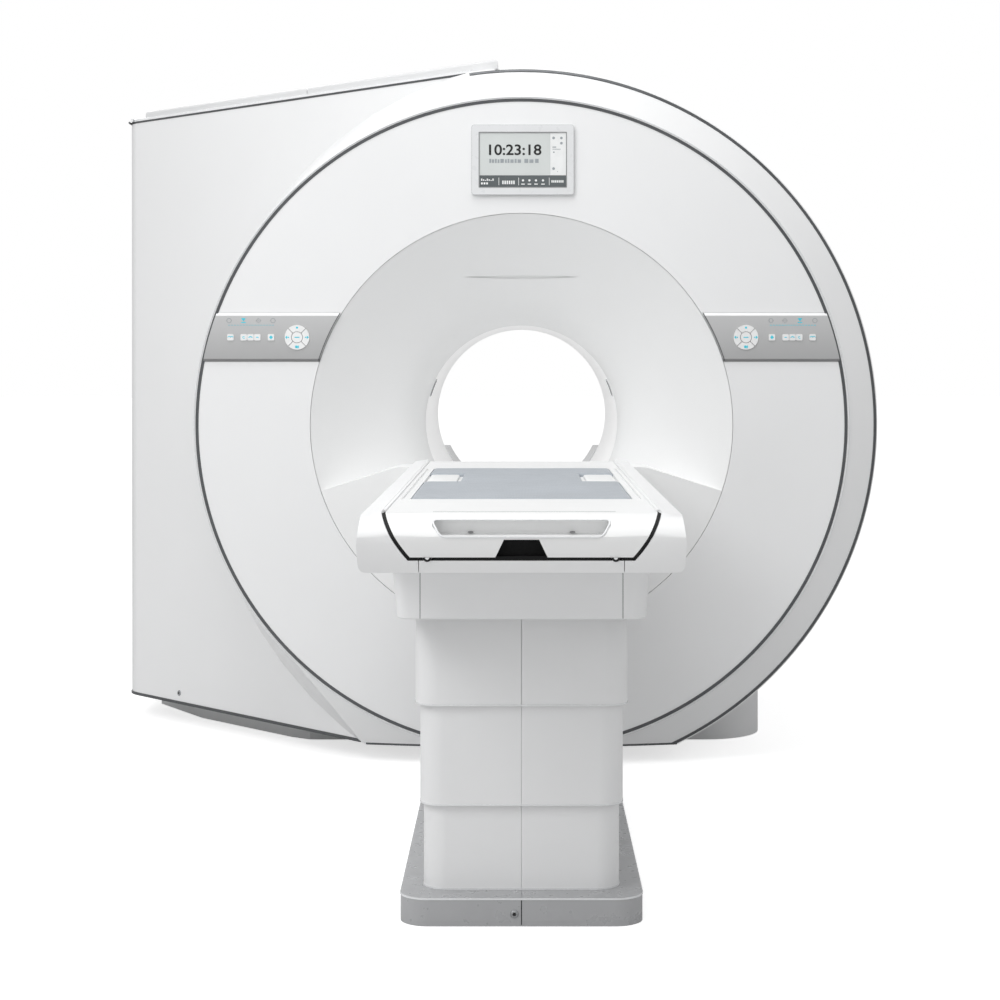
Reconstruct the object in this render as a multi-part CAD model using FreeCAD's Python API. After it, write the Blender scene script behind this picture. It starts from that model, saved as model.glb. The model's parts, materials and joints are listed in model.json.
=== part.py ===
"""Closed-bore magnetic resonance scanner with a lifting patient table, in millimetres.

+X is right, +Y goes into the bore, +Z is up, seen by someone standing at the foot of the table.
The origin is on the floor, straight below the isocentre, which is the middle of the bore.
Each function makes one piece, and PIECES at the end names them all.
"""

import FreeCAD, Part
import math
import os

V = FreeCAD.Vector

# ---- bore and funnels ----
bore_z = 1068.0              # bore axis above the floor
bore_r = 316.0               # inside of the patient tube
bore_half = 507.0            # half the length of the straight tube
tube_wall = 15.0             # the patient tube with the body coil bonded round it
funnel_turn = 56.0           # degrees that the funnel's lip turns through before it runs straight
funnel_steps = 4             # straight steps that make that turn
funnel_wall = 10.0
seam_r = 665.0               # where the funnel meets the face panels
seam_gap = 1.5

hidden_flats = 24            # flat sides of a surface round the bore where nothing shows it
rear_flats = 36              # flat sides of the rear funnel

# ---- gantry housing ----
gantry_half = 850.0          # half the depth of the gantry
face_wall = 12.0
ring_r = 1021.0              # round seam between the face and the cover
rim_reach = 105.0            # the round body behind the face reaches this far outside it
rim_depth = 45.0             # how far the bevelled collar falls back from the face
flat_z = 56.0                # flat underside of the round body
cover_wall = 12.0
cover_ledge = 21.0           # inner lip of the cover that the face lies on
collar_land = 9.0            # flat land of the cover outside the face
split_y = 420.0              # seam between the front and the rear cover
cover_gap = 0.6              # open seam between two covers

# ---- flank: the flat side that leans back from the rim to the rear left corner ----
flank_top_x = -166.0         # its front edge at the top
flank_bottom_x = -508.0      # its front edge at the bottom
roof_tuck = 0.69655          # its top lies this far under the round body's surface
flank_bottom_z = 61.0
corner_top_x = -1470.0       # rear left corner at the roof
corner_top_y = 437.0
roof_fall = 18.0             # and this far below the flank's top
corner_bottom_x = -1396.0    # and at the underside, where its Y follows from the flank
corner_bottom_z = 79.0
corner_r = 100.0
flank_overlap = 150.0        # how far the flat side runs on inside the round body
collar_sweep = 1.03          # depth of the collar's foot as a share of the flank's depth there
collar_flats = 22            # flats that make the swept part of the collar
collar_inset = 1.0           # their front edge lies this far inside the open collar's

# ---- roof lids ----
lid_inset = 55.0
lid_height = 41.0
lid_seam_x = -742.0
lid_right_x = -75.0
lid_rear_margin = 70.0
lid_fillet = 10.0

# ---- pedestal under the gantry ----
pedestal_front_y = -421.0
pedestal_rear_y = 760.0
pedestal_right_x = 812.0
pedestal_corner_r = 200.0
pedestal_left_x = -1329.0
pedestal_left_y = 307.0      # front end of its left side
pedestal_waist_x = -1133.0   # the front left side is drawn in here
pedestal_waist_y = 0.0
pedestal_toe_x = -773.0
pedestal_toe_y = -375.0
pedestal_toe_cut = 65.0      # width of the small corner between the toe and the front
pedestal_top_z = 400.0
well_half_x = 600.0          # open middle where the magnet's feet stand
well_front_y = -395.0
well_rear_y = 640.0

# ---- magnet inside the covers ----
vessel_margin = 121.0        # from the vessel out to the round seam
vessel_bore_r = 450.0
vessel_funnel_gap = 20.659    # from the back of a funnel to the end of the vessel's bore
seat_gap = 0.3               # running gap of pieces that seat in each other
gradient_half = 500.0
turret_x = -560.0
turret_y = 100.0
turret_half = 130.0
turret_corner = 70.0
turret_drop = 301.0          # from the flank's top down to the turret's
cold_head_half = 75.0
cold_head_corner = 40.0
cold_head_height = 190.0
motor_length = 150.0
motor_width = 105.0
motor_height = 76.0
motor_low = 85.0             # from the turret up to the motor's underside
anchor_x = 495.0             # anchor holes of the magnet's feet
anchor_y = 300.0
anchor_hole_r = 9.0
anchor_pad = 24.0            # thickness of a foot's base flange
foot_length = 160.0
foot_flange = 90.0           # flange beyond the upright of a foot
foot_upright = 90.0
foot_inset = 12.0            # the upright stands in from the flange's ends

# ---- docking shelf in the lower part of each funnel ----
shelf_z = 934.0
shelf_half = 391.0
shelf_drop_x = 570.0
shelf_drop_z = 878.0
shelf_round = 90.0

# ---- control panels and display ----
band_low_z = 1266.0
band_high_z = 1419.0
band_proud = 8.0
band_bevel = 8.0
band_back = 12.0             # depth of the band behind the face
button_z = 1342.0
button_gap = 0.4
button_travel = 2.0
button_proud = 2.5
button_depth = 10.0          # from the band's surface down to the pocket's floor
button_floor_gap = 0.6       # space left behind a key that is pressed home
pad_x = 704.5
pad_r = 39.0
pad_sides = 32               # flats round the pad's edge
pad_centre_r = 17.0
pad_centre_sides = 16
pad_split = 1.6
stem_size = 6.0              # square stem that guides the pad's centre key
stem_depth = 6.0
key_size = 20.4
key_corner = 2.5
key_xs = (786.0, 829.0, 850.4, 871.8, 913.5)
display_x = 4.0
display_z = 1899.0
display_width = 320.0
display_height = 219.0
display_proud = 12.0
display_corner_r = 8.0
screen_width = 274.0
screen_height = 172.0
screen_recess = 2.0
screen_thickness = 6.0
slit_z = 1536.0
slit_half = 182.0
slit_height = 11.0
slit_depth = 5.0

# ---- patient table ----
table_front_y = -3164.0
dock_gap = 0.3               # running gap between the table's rear end and the gantry's face
deck_half = 335.0
deck_bottom_z = 836.0
deck_shoulder_z = 953.0
deck_top_z = 959.0
deck_side_bulge = 3.0
deck_corner_r = 16.0
deck_seam_x = 211.0
floor_z = 862.0              # floor of the trough that the cradle runs in
trough_r = 311.0
cradle_r = 303.0
cradle_bottom_z = 869.0
cradle_top_z = 957.0
cradle_rear_y = -950.0
cap_rear_y = -2767.0
guide_x = 193.0
guide_r = 9.0
guide_gap = 0.3
nose_start_y = -3040.0       # where the flat top starts to fall
nose_z = 912.0               # height of the foremost point
nose_tuck = 24.0             # how far the underside tucks back
belly_share = 0.3            # share of that reached halfway down
cap_set_back = 1.0           # the cradle's foot end behind the frame's
bridge_plate = 16.0          # floor inside the patient tube, and its two legs
bridge_leg = 14.0
bridge_leg_x = 120.0

# ---- cradle details ----
mat_front_y = -2684.0
mat_rear_y = -1385.0
mat_half = 252.0
mat_thickness = 12.0
mat_recess = 8.0
mat_gap = 0.5
notch_front_y = -2031.0
notch_rear_y = -1657.0
notch_inner_x = 159.0
rail_x = 270.0
rail_width = 6.0
rail_depth = 5.0
handle_low_z = 913.0
handle_high_z = 943.0
handle_half_low = 166.0
handle_half_high = 194.0
handle_depth = 60.0
handle_corner_r = 8.0
latch_low_half = 54.0
latch_high_half = 36.0
latch_high_z = 906.0
latch_depth = 45.0

# ---- apron, telescopic shroud, lifting column and plinth ----
apron_front_y = -2800.0
apron_rear_y = -1560.0
apron_half_top = 289.5
apron_half_bottom = 277.0
apron_bottom_z = 698.0
apron_wall = 8.0
apron_corner_r = 30.0
shroud_rear_y = -1700.0
shroud_corner_r = 55.0
shroud_wall = 6.0
shroud_seam = 0.3
tier_halves = (243.0, 233.0, 225.0)        # upper, middle and lower tier
tier_front_y = -2684.0       # front of the upper tier
tier_step = 12.0             # each tier's end walls stand this far inside the last
upper_tier_z = 487.0         # bottom of the upper tier with the table raised
tier_lap = 23.0              # how far each tier reaches up inside the one above
tier_clearance = 4.0         # left between the middle tier and the plinth when it is down
lift_travel = 380.0          # the middle tier and column stage make half of it
column_y = -2180.0
column_half = 150.0          # outer, fixed stage
column_wall = 8.0
column_lap = 148.0           # how far the inner stage reaches down inside the middle one
column_clearance = 2.0       # left under the middle stage when it is down
fixed_stage_top_z = 410.0
middle_stage_top_z = 610.0
plinth_half = 275.5
plinth_front_y = -2733.0
plinth_rear_y = -1300.0
plinth_height = 64.0
plinth_corner_r = 65.0
plinth_wall = 5.0
plinth_opening_margin = 25.0
base_plate = 12.0
base_hole_x = 180.0
base_hole_y = 500.0

FAR = 4000.0                 # longer than any piece, for cutting tools

face_y = -gantry_half
rim_y = face_y + rim_depth
rim_r = ring_r + rim_reach
face_r = ring_r - seam_gap
collar_r = ring_r + collar_land
band_y = face_y - band_proud
deck_rear_y = face_y - dock_gap
flank_top_z = bore_z + math.sqrt(rim_r ** 2 - flank_top_x ** 2) - roof_tuck
corner_top_z = flank_top_z - roof_fall
slope_top = (flank_top_z - corner_top_z) / (flank_top_x - corner_top_x)
slope_bottom = (flank_bottom_z - corner_bottom_z) / (flank_bottom_x - corner_bottom_x)
flank_lean = (flank_top_x - flank_bottom_x) / (flank_top_z - flank_bottom_z)
vessel_r = ring_r - vessel_margin
turret_top_z = flank_top_z - turret_drop
foot_top_z = bore_z - math.sqrt(vessel_r ** 2 - anchor_x ** 2)
gradient_inner_r = bore_r + tube_wall + seat_gap
tier_fronts = [tier_front_y + tier_step * tier for tier in range(3)]
tier_bottoms = (upper_tier_z, plinth_height + lift_travel / 2 + tier_clearance, plinth_height)
tier_tops = (deck_bottom_z, tier_bottoms[0] + tier_lap, tier_bottoms[1] + tier_lap)
column_bottoms = (base_plate, base_plate + lift_travel / 2 + column_clearance,
                  middle_stage_top_z - column_lap)
column_tops = (fixed_stage_top_z, middle_stage_top_z, deck_bottom_z)


# ---- basic shapes ----
def box(x0, x1, y0, y1, z0, z1):
    return Part.makeBox(x1 - x0, y1 - y0, z1 - z0, V(x0, y0, z0))


def polygon_prism(points, direction):
    """A closed polygon of 3D points, pushed along direction."""
    wire = Part.makePolygon(points + [points[0]])
    return Part.Face(wire).extrude(direction)


def prism_along_y(points_xz, y0, y1):
    return polygon_prism([V(x, y0, z) for x, z in points_xz], V(0, y1 - y0, 0))


def prism_along_z(points_xy, z0, z1):
    return polygon_prism([V(x, y, z0) for x, y in points_xy], V(0, 0, z1 - z0))


def upright_edges(solid, axis="z"):
    """The straight edges of a prism that run along one axis."""
    found = []
    for edge in solid.Edges:
        if edge.Curve.TypeId != "Part::GeomLine":
            continue
        run = edge.tangentAt(edge.FirstParameter)
        if abs(getattr(run, axis)) > 0.999:
            found.append(edge)
    return found


def rounded_block(x0, x1, y0, y1, z0, z1, radius, axis="z"):
    """A box whose edges along one axis are rounded."""
    solid = box(x0, x1, y0, y1, z0, z1)
    return solid.makeFillet(radius, upright_edges(solid, axis))


def cut_corner_block(x0, x1, y0, y1, z0, z1, cut, axis):
    """A box whose edges along one axis are cut off at 45 degrees."""
    solid = box(x0, x1, y0, y1, z0, z1)
    return solid.makeChamfer(cut, upright_edges(solid, axis))


def cylinder_y(radius, y0, y1, x=0.0, z=bore_z):
    return Part.makeCylinder(radius, y1 - y0, V(x, y0, z), V(0, 1, 0))


def tube_y(inner, outer, y0, y1):
    return cylinder_y(outer, y0, y1).cut(cylinder_y(inner, y0, y1))


def on_circle(radius, angle, y):
    """A point at a radius and an angle from +X round the bore."""
    return V(radius * math.cos(angle), y, bore_z + radius * math.sin(angle))


def even_sided(radius, sides, y):
    """The corners of a polygon round the bore, all on the radius."""
    return [on_circle(radius, 2 * math.pi * i / sides, y) for i in range(sides)]


def flat_face(corners):
    return Part.Face(Part.makePolygon(corners + corners[:1]))


def flat_sided(sections, sides=hidden_flats):
    """A solid round the bore with flat sides. Each section gives the radius that they touch,
    and Y."""
    reach = 1 / math.cos(math.pi / sides)
    rings = [even_sided(radius * reach, sides, y) for radius, y in sections]
    faces = [flat_face(rings[0]), flat_face(rings[-1])]
    for near, far in zip(rings, rings[1:]):
        faces += [flat_face([near[i - 1], near[i], far[i], far[i - 1]])
                  for i in range(sides)]
    shell = Part.Compound(faces)
    shell.sewShape()
    solid = Part.Solid(Part.Shell(shell.Faces))
    if solid.Volume < 0:
        solid.reverse()
    return solid


def revolve_about_bore(edges):
    """A closed profile in the plane z = bore_z, with x as its radius, turned about the bore."""
    return Part.Face(Part.Wire(edges)).revolve(V(0, 0, bore_z), V(0, 1, 0), 360)


def mirrored(solid, side):
    """side is -1 for the left and +1 for the right. The solid given is the right one."""
    return solid if side > 0 else solid.mirror(V(0, 0, 0), V(1, 0, 0))


# ---- the housing's outer form ----
def flank_front_x(z):
    """X of the flank's front edge at a height."""
    return flank_top_x + (z - flank_top_z) * flank_lean


flank_fall = (corner_top_y - rim_y) / (flank_front_x(corner_top_z) - corner_top_x)


def flank_y(x, z):
    """Y of the flank's surface."""
    return rim_y + (flank_front_x(z) - x) * flank_fall


def roof_z(x):
    return flank_top_z + (x - flank_top_x) * slope_top


def underside_z(x):
    return flank_bottom_z + (x - flank_bottom_x) * slope_bottom


def behind_flank(inset):
    """Everything behind the flank's plane, moved in by inset."""
    shift = inset * math.sqrt(1 + flank_fall ** 2 * (1 + flank_lean ** 2))
    plane = [V(x, flank_y(x, z) + shift, z)
             for x, z in ((-FAR, -FAR), (FAR, -FAR), (FAR, FAR), (-FAR, FAR))]
    return polygon_prism(plane, V(0, 3 * FAR, 0))


def side_block(inset, end_inset):
    """The flat-sided left part of the housing. end_inset is taken off its roof and underside."""
    inner_x = flank_bottom_x + flank_overlap
    block = prism_along_y([
        (corner_bottom_x + inset, corner_bottom_z + end_inset),
        (inner_x, underside_z(inner_x) + end_inset), (0, bore_z), (0, roof_z(0) - end_inset),
        (corner_top_x + inset, corner_top_z - end_inset),
    ], rim_y + inset, gantry_half - end_inset)
    block = block.common(behind_flank(inset))
    corner = [e for e in block.Edges
              if all(v.X < corner_bottom_x + corner_r and v.Y < gantry_half - corner_r
                     for v in e.Vertexes)]
    return block.makeFillet(corner_r - inset, corner)


def foot_y(x, z):
    """Y of the plane that the collar's foot lies in, a little deeper than the flank's."""
    return rim_y + collar_sweep * (flank_y(x, z) - rim_y)


def collar_pair(turn):
    """A point on the collar's front edge and one on its foot, at an angle from the middle of the
    flank. Their tangents meet where the two edges' planes cross, so one flat touches both edges."""
    hinge_x = flank_front_x(bore_z) + rim_depth / (collar_sweep * flank_fall)
    hinge = -hinge_x * math.cos(math.atan(flank_lean))
    along = (rim_r - hinge * math.cos(turn)) / math.sin(turn)
    front_r = collar_r - collar_inset
    partner = math.atan2(abs(along), hinge) - math.acos(front_r / math.hypot(hinge, along))
    middle = math.pi - math.atan(flank_lean)
    front = on_circle(front_r, middle + math.copysign(partner, turn), face_y)
    foot = on_circle(rim_r, middle + turn, 0)
    foot.y = foot_y(foot.x, foot.z)
    return front, foot


def behind_flat(front, foot):
    """Everything behind the flat through a pair of points that holds the front edge's tangent."""
    tangent = V(bore_z - front.z, 0, front.x).normalize()
    inward = tangent.cross(foot - front).normalize()
    if inward.dot(V(0, gantry_half, bore_z) - front) < 0:
        inward = -inward
    along, across = tangent * FAR, tangent.cross(inward) * FAR
    corners = [front + along + across, front + along - across,
               front - along - across, front - along + across]
    return polygon_prism(corners, inward * FAR)


def round_body():
    """The drum with its bevelled collar, which is swept back beside the flank in narrow flats."""
    bevel = Part.makeCone(collar_r, rim_r, rim_depth, V(0, face_y, bore_z), V(0, 1, 0))
    body = bevel.fuse(cylinder_y(rim_r, rim_y, gantry_half))
    end = math.acos(-flank_front_x(bore_z) * math.cos(math.atan(flank_lean)) / rim_r)
    for i in range(collar_flats):
        turn = end * (2 * i + 1 - collar_flats) / (collar_flats - 1)
        body = body.common(behind_flat(*collar_pair(turn)))
    return body.common(box(-FAR, FAR, -FAR, FAR, flat_z, FAR))


_cache = {}


def cached(name, make):
    if name not in _cache:
        _cache[name] = make()
    return _cache[name]


def housing_form():
    return cached("form", lambda: round_body().fuse(side_block(0.0, 0.0)))


def cover_void():
    """The hollow in the covers: behind the face, and the room in the flank."""
    start = face_y + face_wall + cover_wall
    deep = foot_y(-rim_r, bore_z)
    corner = math.cos(math.pi / hidden_flats)
    front_r, back_r = (ring_r - cover_ledge) * corner, (rim_r - cover_wall) * corner
    room = flat_sided([(front_r, face_y - 1), (front_r, start), (back_r, deep),
                       (back_r, gantry_half - cover_wall)])
    room = room.common(box(-FAR, FAR, -FAR, FAR, flat_z + cover_wall, FAR))
    return room.fuse(side_block(cover_wall, cover_wall))


def cover_shell():
    """The hollow housing, open over the face, at the rear funnel and under the magnet's feet."""
    def make():
        shell = housing_form().cut(cover_void())
        shell = shell.cut(cylinder_y(ring_r, face_y - 1, face_y + face_wall))
        shell = shell.cut(cylinder_y(seam_r - seam_gap, 0, 1 - face_y))
        well = box(-well_half_x, well_half_x, well_front_y, well_rear_y, -1, pedestal_top_z)
        return shell.cut(well)
    return cached("shell", make)


def front_cover():
    return cover_shell().common(box(-FAR, FAR, -FAR, split_y - cover_gap / 2, -FAR, FAR))


def rear_cover():
    """The rear shell with its funnel and shelf in one moulding."""
    shell = cover_shell().common(box(-FAR, FAR, split_y + cover_gap / 2, FAR, -FAR, FAR))
    return shell.fuse(funnel_form(rear_trumpet()).mirror(V(0, 0, 0), V(0, 1, 0)))


# ---- funnels ----
def funnel_profile():
    """Points of the funnel's surface at the front. A curve in short steps starts along the tube,
    and the rest runs straight from its end to the face."""
    turn = math.radians(funnel_turn)
    wide, deep = seam_r - seam_gap - bore_r, gantry_half - bore_half
    radius = (deep * math.sin(turn) - wide * math.cos(turn)) / (1 - math.cos(turn))
    points = []
    for i in range(funnel_steps + 1):
        angle = turn * i / funnel_steps
        points.append(V(bore_r + radius * (1 - math.cos(angle)),
                        -bore_half - radius * math.sin(angle), bore_z))
    return points + [V(bore_r + wide, face_y, bore_z)]


def outward(offset):
    """Square to the funnel's straight part, into its wall."""
    turn = math.radians(funnel_turn)
    return V(math.cos(turn), math.sin(turn), 0) * offset


def lines_through(points):
    return [Part.makeLine(a, b) for a, b in zip(points, points[1:])]


def front_trumpet():
    profile = funnel_profile()
    low, high = V(0, profile[0].y, bore_z), V(0, profile[-1].y, bore_z)
    return revolve_about_bore(lines_through(profile + [high, low, profile[0]]))


def rear_trumpet():
    """The same air space in flat sides and fewer steps, still facing the front."""
    *curve, edge = funnel_profile()
    sections = [(point.x, point.y) for point in curve[::2]]
    sections.append((edge.x * math.cos(math.pi / rear_flats), edge.y))
    return flat_sided(sections, rear_flats)


def funnel_back():
    """Corners of the back of the funnel's wall, from the face to the tube."""
    lip, *_, end, edge = funnel_profile()
    waist = end + outward(funnel_wall)
    return [(edge.x, edge.y + face_wall), (waist.x, waist.y), (lip.x + funnel_wall, lip.y)]


def funnel_form(trumpet):
    """A blank with flat sides, opened by the trumpet down to the docking shelf."""
    edge = funnel_profile()[-1]
    blank = flat_sided(funnel_back())
    blank = blank.fuse(cylinder_y(edge.x, edge.y, edge.y + face_wall))
    return blank.cut(trumpet.cut(shelf())).cut(cradle_way())


def shelf():
    """Fills the lower part of the funnel up to the table's level."""
    fall = (shelf_z - shelf_drop_z) / (shelf_drop_x - shelf_half)
    side_z = shelf_z - fall * (seam_r - shelf_half)
    low = bore_z - seam_r
    body = prism_along_y([
        (-seam_r, low), (seam_r, low), (seam_r, side_z), (shelf_half, shelf_z),
        (-shelf_half, shelf_z), (-seam_r, side_z),
    ], face_y - 1, 1 - bore_half)
    shoulders = [
        e for e in upright_edges(body, "y")
        if abs(abs(e.Vertexes[0].X) - shelf_half) < 1 and abs(e.Vertexes[0].Z - shelf_z) < 1
    ]
    return body.makeFillet(shelf_round, shoulders)


def cradle_way():
    """The space that the cradle runs in: its trough and the two guide grooves."""
    trough = cylinder_y(trough_r, -FAR, FAR).common(box(-FAR, FAR, -FAR, FAR, floor_z, FAR))
    for side in (-1, 1):
        groove = cylinder_y(guide_r + guide_gap, -FAR, FAR, side * guide_x, cradle_bottom_z)
        trough = trough.fuse(groove)
    return trough


def funnel():
    """The front funnel with its lens-shaped slit, which lies on the straight part."""
    lens_r = (slit_half ** 2 + (slit_height / 2) ** 2) / slit_height
    drop = lens_r - slit_height / 2
    lens = cylinder_y(lens_r, -FAR, 0, 0, slit_z - drop).common(
        cylinder_y(lens_r, -FAR, 0, 0, slit_z + drop))
    end, edge = funnel_profile()[-2:]
    skin = revolve_about_bore(lines_through([
        end, edge, edge + outward(slit_depth), end + outward(slit_depth), end,
    ]))
    return funnel_form(front_trumpet()).cut(skin.common(lens))


def bore_tube():
    outer_r = bore_r + tube_wall
    blank = flat_sided([(outer_r, -bore_half), (outer_r, bore_half)])
    return blank.cut(cylinder_y(bore_r, -FAR, FAR))


def bore_bridge():
    """The floor that carries the cradle through the tube, on two legs."""
    plate_z = floor_z - bridge_plate
    inside = cylinder_y(bore_r - seat_gap, -bore_half, bore_half)
    solid = box(-FAR, FAR, -bore_half, bore_half, plate_z, floor_z).common(inside)
    for side in (-1, 1):
        x = side * bridge_leg_x
        leg = box(x - bridge_leg / 2, x + bridge_leg / 2, -bore_half, bore_half, 0, plate_z)
        solid = solid.fuse(leg.common(inside))
    return solid.cut(cradle_way()).removeSplitter()


# ---- front face ----
def face_ring():
    return tube_y(seam_r, face_r, face_y, face_y + face_wall).common(
        box(-FAR, FAR, -FAR, FAR, flat_z, FAR))


def face_upper():
    return face_ring().common(box(-FAR, FAR, -FAR, FAR, band_high_z + seam_gap / 2, FAR))


def face_lower():
    return face_ring().common(box(-FAR, FAR, -FAR, FAR, -FAR, band_low_z - seam_gap / 2))


def panel(side):
    """A raised control band with pockets for its keys, made on the right and mirrored."""
    low, high = band_low_z, band_high_z
    y0, y1 = band_y, face_y + band_back
    section = polygon_prism([
        V(0, y1, low), V(0, face_y, low), V(0, y0, low + band_bevel),
        V(0, y0, high - band_bevel), V(0, face_y, high), V(0, y1, high),
    ], V(FAR, 0, 0))
    band = section.common(tube_y(seam_r, face_r, y0 - 1, y1))
    floor_y = band_y + button_depth
    band = band.cut(pad_prism(pad_r + button_gap, pad_sides, y0 - 1, floor_y))
    band = band.cut(stem(floor_y, y1, seat_gap))
    for x in key_xs:
        half = key_size / 2 + button_gap
        pocket = cut_corner_block(x - half, x + half, y0 - 1, floor_y, button_z - half,
                                  button_z + half, key_corner + button_gap, "y")
        band = band.cut(pocket)
    return mirrored(band, side)


def pad_prism(radius, sides, y0, y1):
    """A prism at the right pad's place, with its corners on the radius."""
    prism = flat_face(even_sided(radius, sides, y0)).extrude(V(0, y1 - y0, 0))
    prism.translate(V(pad_x, 0, button_z - bore_z))
    return prism


def key_span():
    """Front and back Y of every key at rest."""
    back = band_y + button_depth - button_travel - button_floor_gap
    return band_y - button_proud, back


def stem(y0, y1, grow):
    half = stem_size / 2 + grow
    return box(pad_x - half, pad_x + half, y0, y1, button_z - half, button_z + half)


def pad_centre(side):
    y0, y1 = key_span()
    cap = pad_prism(pad_centre_r, pad_centre_sides, y0, y1)
    return mirrored(cap.fuse(stem(y1, y1 + stem_depth, 0.0)), side)


def pad_quadrant(side, turn):
    """One quarter of the round pad. turn counts quarter turns from the outer one."""
    y0, y1 = key_span()
    ring = pad_prism(pad_r, pad_sides, y0, y1)
    ring = ring.cut(pad_prism(pad_centre_r + pad_split, pad_centre_sides, y0, y1))
    reach = 2 * pad_r
    near = pad_split / math.sqrt(2)
    wedge = prism_along_y([(near, 0), (near + reach, -reach), (near + reach, reach)], y0, y1)
    wedge.rotate(V(0, 0, 0), V(0, 1, 0), -90.0 * turn)
    wedge.translate(V(pad_x, 0, button_z))
    return mirrored(ring.common(wedge), side)


def key(side, index):
    y0, y1 = key_span()
    x, half = key_xs[index], key_size / 2
    solid = cut_corner_block(x - half, x + half, y0, y1, button_z - half, button_z + half,
                             key_corner, "y")
    return mirrored(solid, side)


def display_frame():
    half_x, half_z = display_width / 2, display_height / 2
    frame = rounded_block(display_x - half_x, display_x + half_x, face_y - display_proud, face_y,
                          display_z - half_z, display_z + half_z, display_corner_r, "y")
    return frame.cut(screen_space())


def screen_space():
    half_x, half_z = screen_width / 2, screen_height / 2
    front = face_y - display_proud
    back = front + screen_recess + screen_thickness
    return box(display_x - half_x, display_x + half_x, front - 1, back,
               display_z - half_z, display_z + half_z)


def display_screen():
    front = face_y - display_proud + screen_recess
    return screen_space().common(box(-FAR, FAR, front, FAR, 0, FAR))


# ---- roof and pedestal ----
def roof_lid(x0, x1):
    """A raised lid that keeps its distance from the flank's top edge."""
    run = V(corner_top_x - flank_top_x, corner_top_y - rim_y, 0).normalize()
    start = V(flank_top_x, rim_y, 0) + V(run.y, -run.x, 0) * lid_inset
    x0 = max(x0, corner_top_x + lid_inset)

    def front_edge_y(x):
        return start.y + run.y * (x - start.x) / run.x

    rear = gantry_half - lid_rear_margin
    plan = prism_along_z([(x0, front_edge_y(x0)), (x1, front_edge_y(x1)), (x1, rear), (x0, rear)],
                         0, FAR)
    slab = prism_along_y([(x0, roof_z(x0)), (x1, roof_z(x1)), (x1, roof_z(x1) + lid_height),
                          (x0, roof_z(x0) + lid_height)], -FAR, FAR)
    lid = plan.common(slab)
    top = max(lid.Faces, key=lambda f: f.CenterOfMass.z)
    lid = lid.makeFillet(lid_fillet, top.Edges)
    return lid.cut(cylinder_y(rim_r, -FAR, FAR))


def pedestal():
    """The floor plinth of the gantry, cut to the housing that it carries."""
    plan = prism_along_z([
        (pedestal_right_x, pedestal_front_y), (pedestal_right_x, pedestal_rear_y),
        (pedestal_left_x, pedestal_rear_y), (pedestal_left_x, pedestal_left_y),
        (pedestal_waist_x, pedestal_waist_y), (pedestal_toe_x, pedestal_toe_y),
        (pedestal_toe_x + pedestal_toe_cut, pedestal_front_y),
    ], 0, pedestal_top_z)
    right = [e for e in upright_edges(plan) if abs(e.Vertexes[0].X - pedestal_right_x) < 1]
    plan = plan.makeFillet(pedestal_corner_r, right)
    well = box(-well_half_x, well_half_x, well_front_y, well_rear_y, -1, pedestal_top_z + 1)
    return plan.cut(housing_form()).cut(well)


# ---- magnet ----
def vessel_half():
    """Half the vessel's length: its bore ends at a gap from the back of the funnel."""
    reach = vessel_bore_r - vessel_funnel_gap
    outer, waist, inner = funnel_back()
    near, far = (waist, outer) if reach > waist[0] else (inner, waist)
    return -(near[1] + (far[1] - near[1]) * (reach - near[0]) / (far[0] - near[0]))


def vessel_drum():
    touched_r = vessel_r * math.cos(math.pi / hidden_flats)
    return flat_sided([(touched_r, -vessel_half()), (touched_r, vessel_half())])


def magnet_vessel():
    body = vessel_drum()
    half = turret_half
    turret = cut_corner_block(turret_x - half, turret_x + half, turret_y - half, turret_y + half,
                              bore_z, turret_top_z, turret_corner, "z")
    return body.fuse(turret).cut(flat_sided([(vessel_bore_r, -FAR), (vessel_bore_r, FAR)]))


def cold_head():
    """The refrigerator on the turret, with its motor out to one side."""
    half = cold_head_half
    body = cut_corner_block(turret_x - half, turret_x + half, turret_y - half, turret_y + half,
                            turret_top_z, turret_top_z + cold_head_height, cold_head_corner, "z")
    low = turret_top_z + motor_low
    motor = box(turret_x, turret_x + motor_length, turret_y - motor_width / 2,
                turret_y + motor_width / 2, low, low + motor_height)
    return body.fuse(motor)


def gradient_coil():
    outer_r = vessel_bore_r - seat_gap
    blank = flat_sided([(outer_r, -gradient_half), (outer_r, gradient_half)])
    return blank.cut(flat_sided([(gradient_inner_r, -FAR), (gradient_inner_r, FAR)]))


def magnet_feet():
    """Four cast feet under the vessel. Each has an upright and an anchor flange outside it."""
    feet = []
    vessel = vessel_drum()
    for sy in (-1, 1):
        y = sy * anchor_y
        ends = (y - foot_length / 2, y + foot_length / 2)
        outer = anchor_x + foot_flange / 2
        flange = box(outer - foot_flange - foot_upright, outer, ends[0], ends[1], 0, anchor_pad)
        upright = box(outer - foot_flange - foot_upright, outer - foot_flange,
                      ends[0] + foot_inset, ends[1] - foot_inset, anchor_pad, foot_top_z)
        hole = Part.makeCylinder(anchor_hole_r, anchor_pad + 2, V(anchor_x, y, -1))
        foot = flange.fuse(upright).cut(hole).cut(vessel)
        feet += [foot, mirrored(foot, -1)]
    return Part.Compound(feet)


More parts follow.
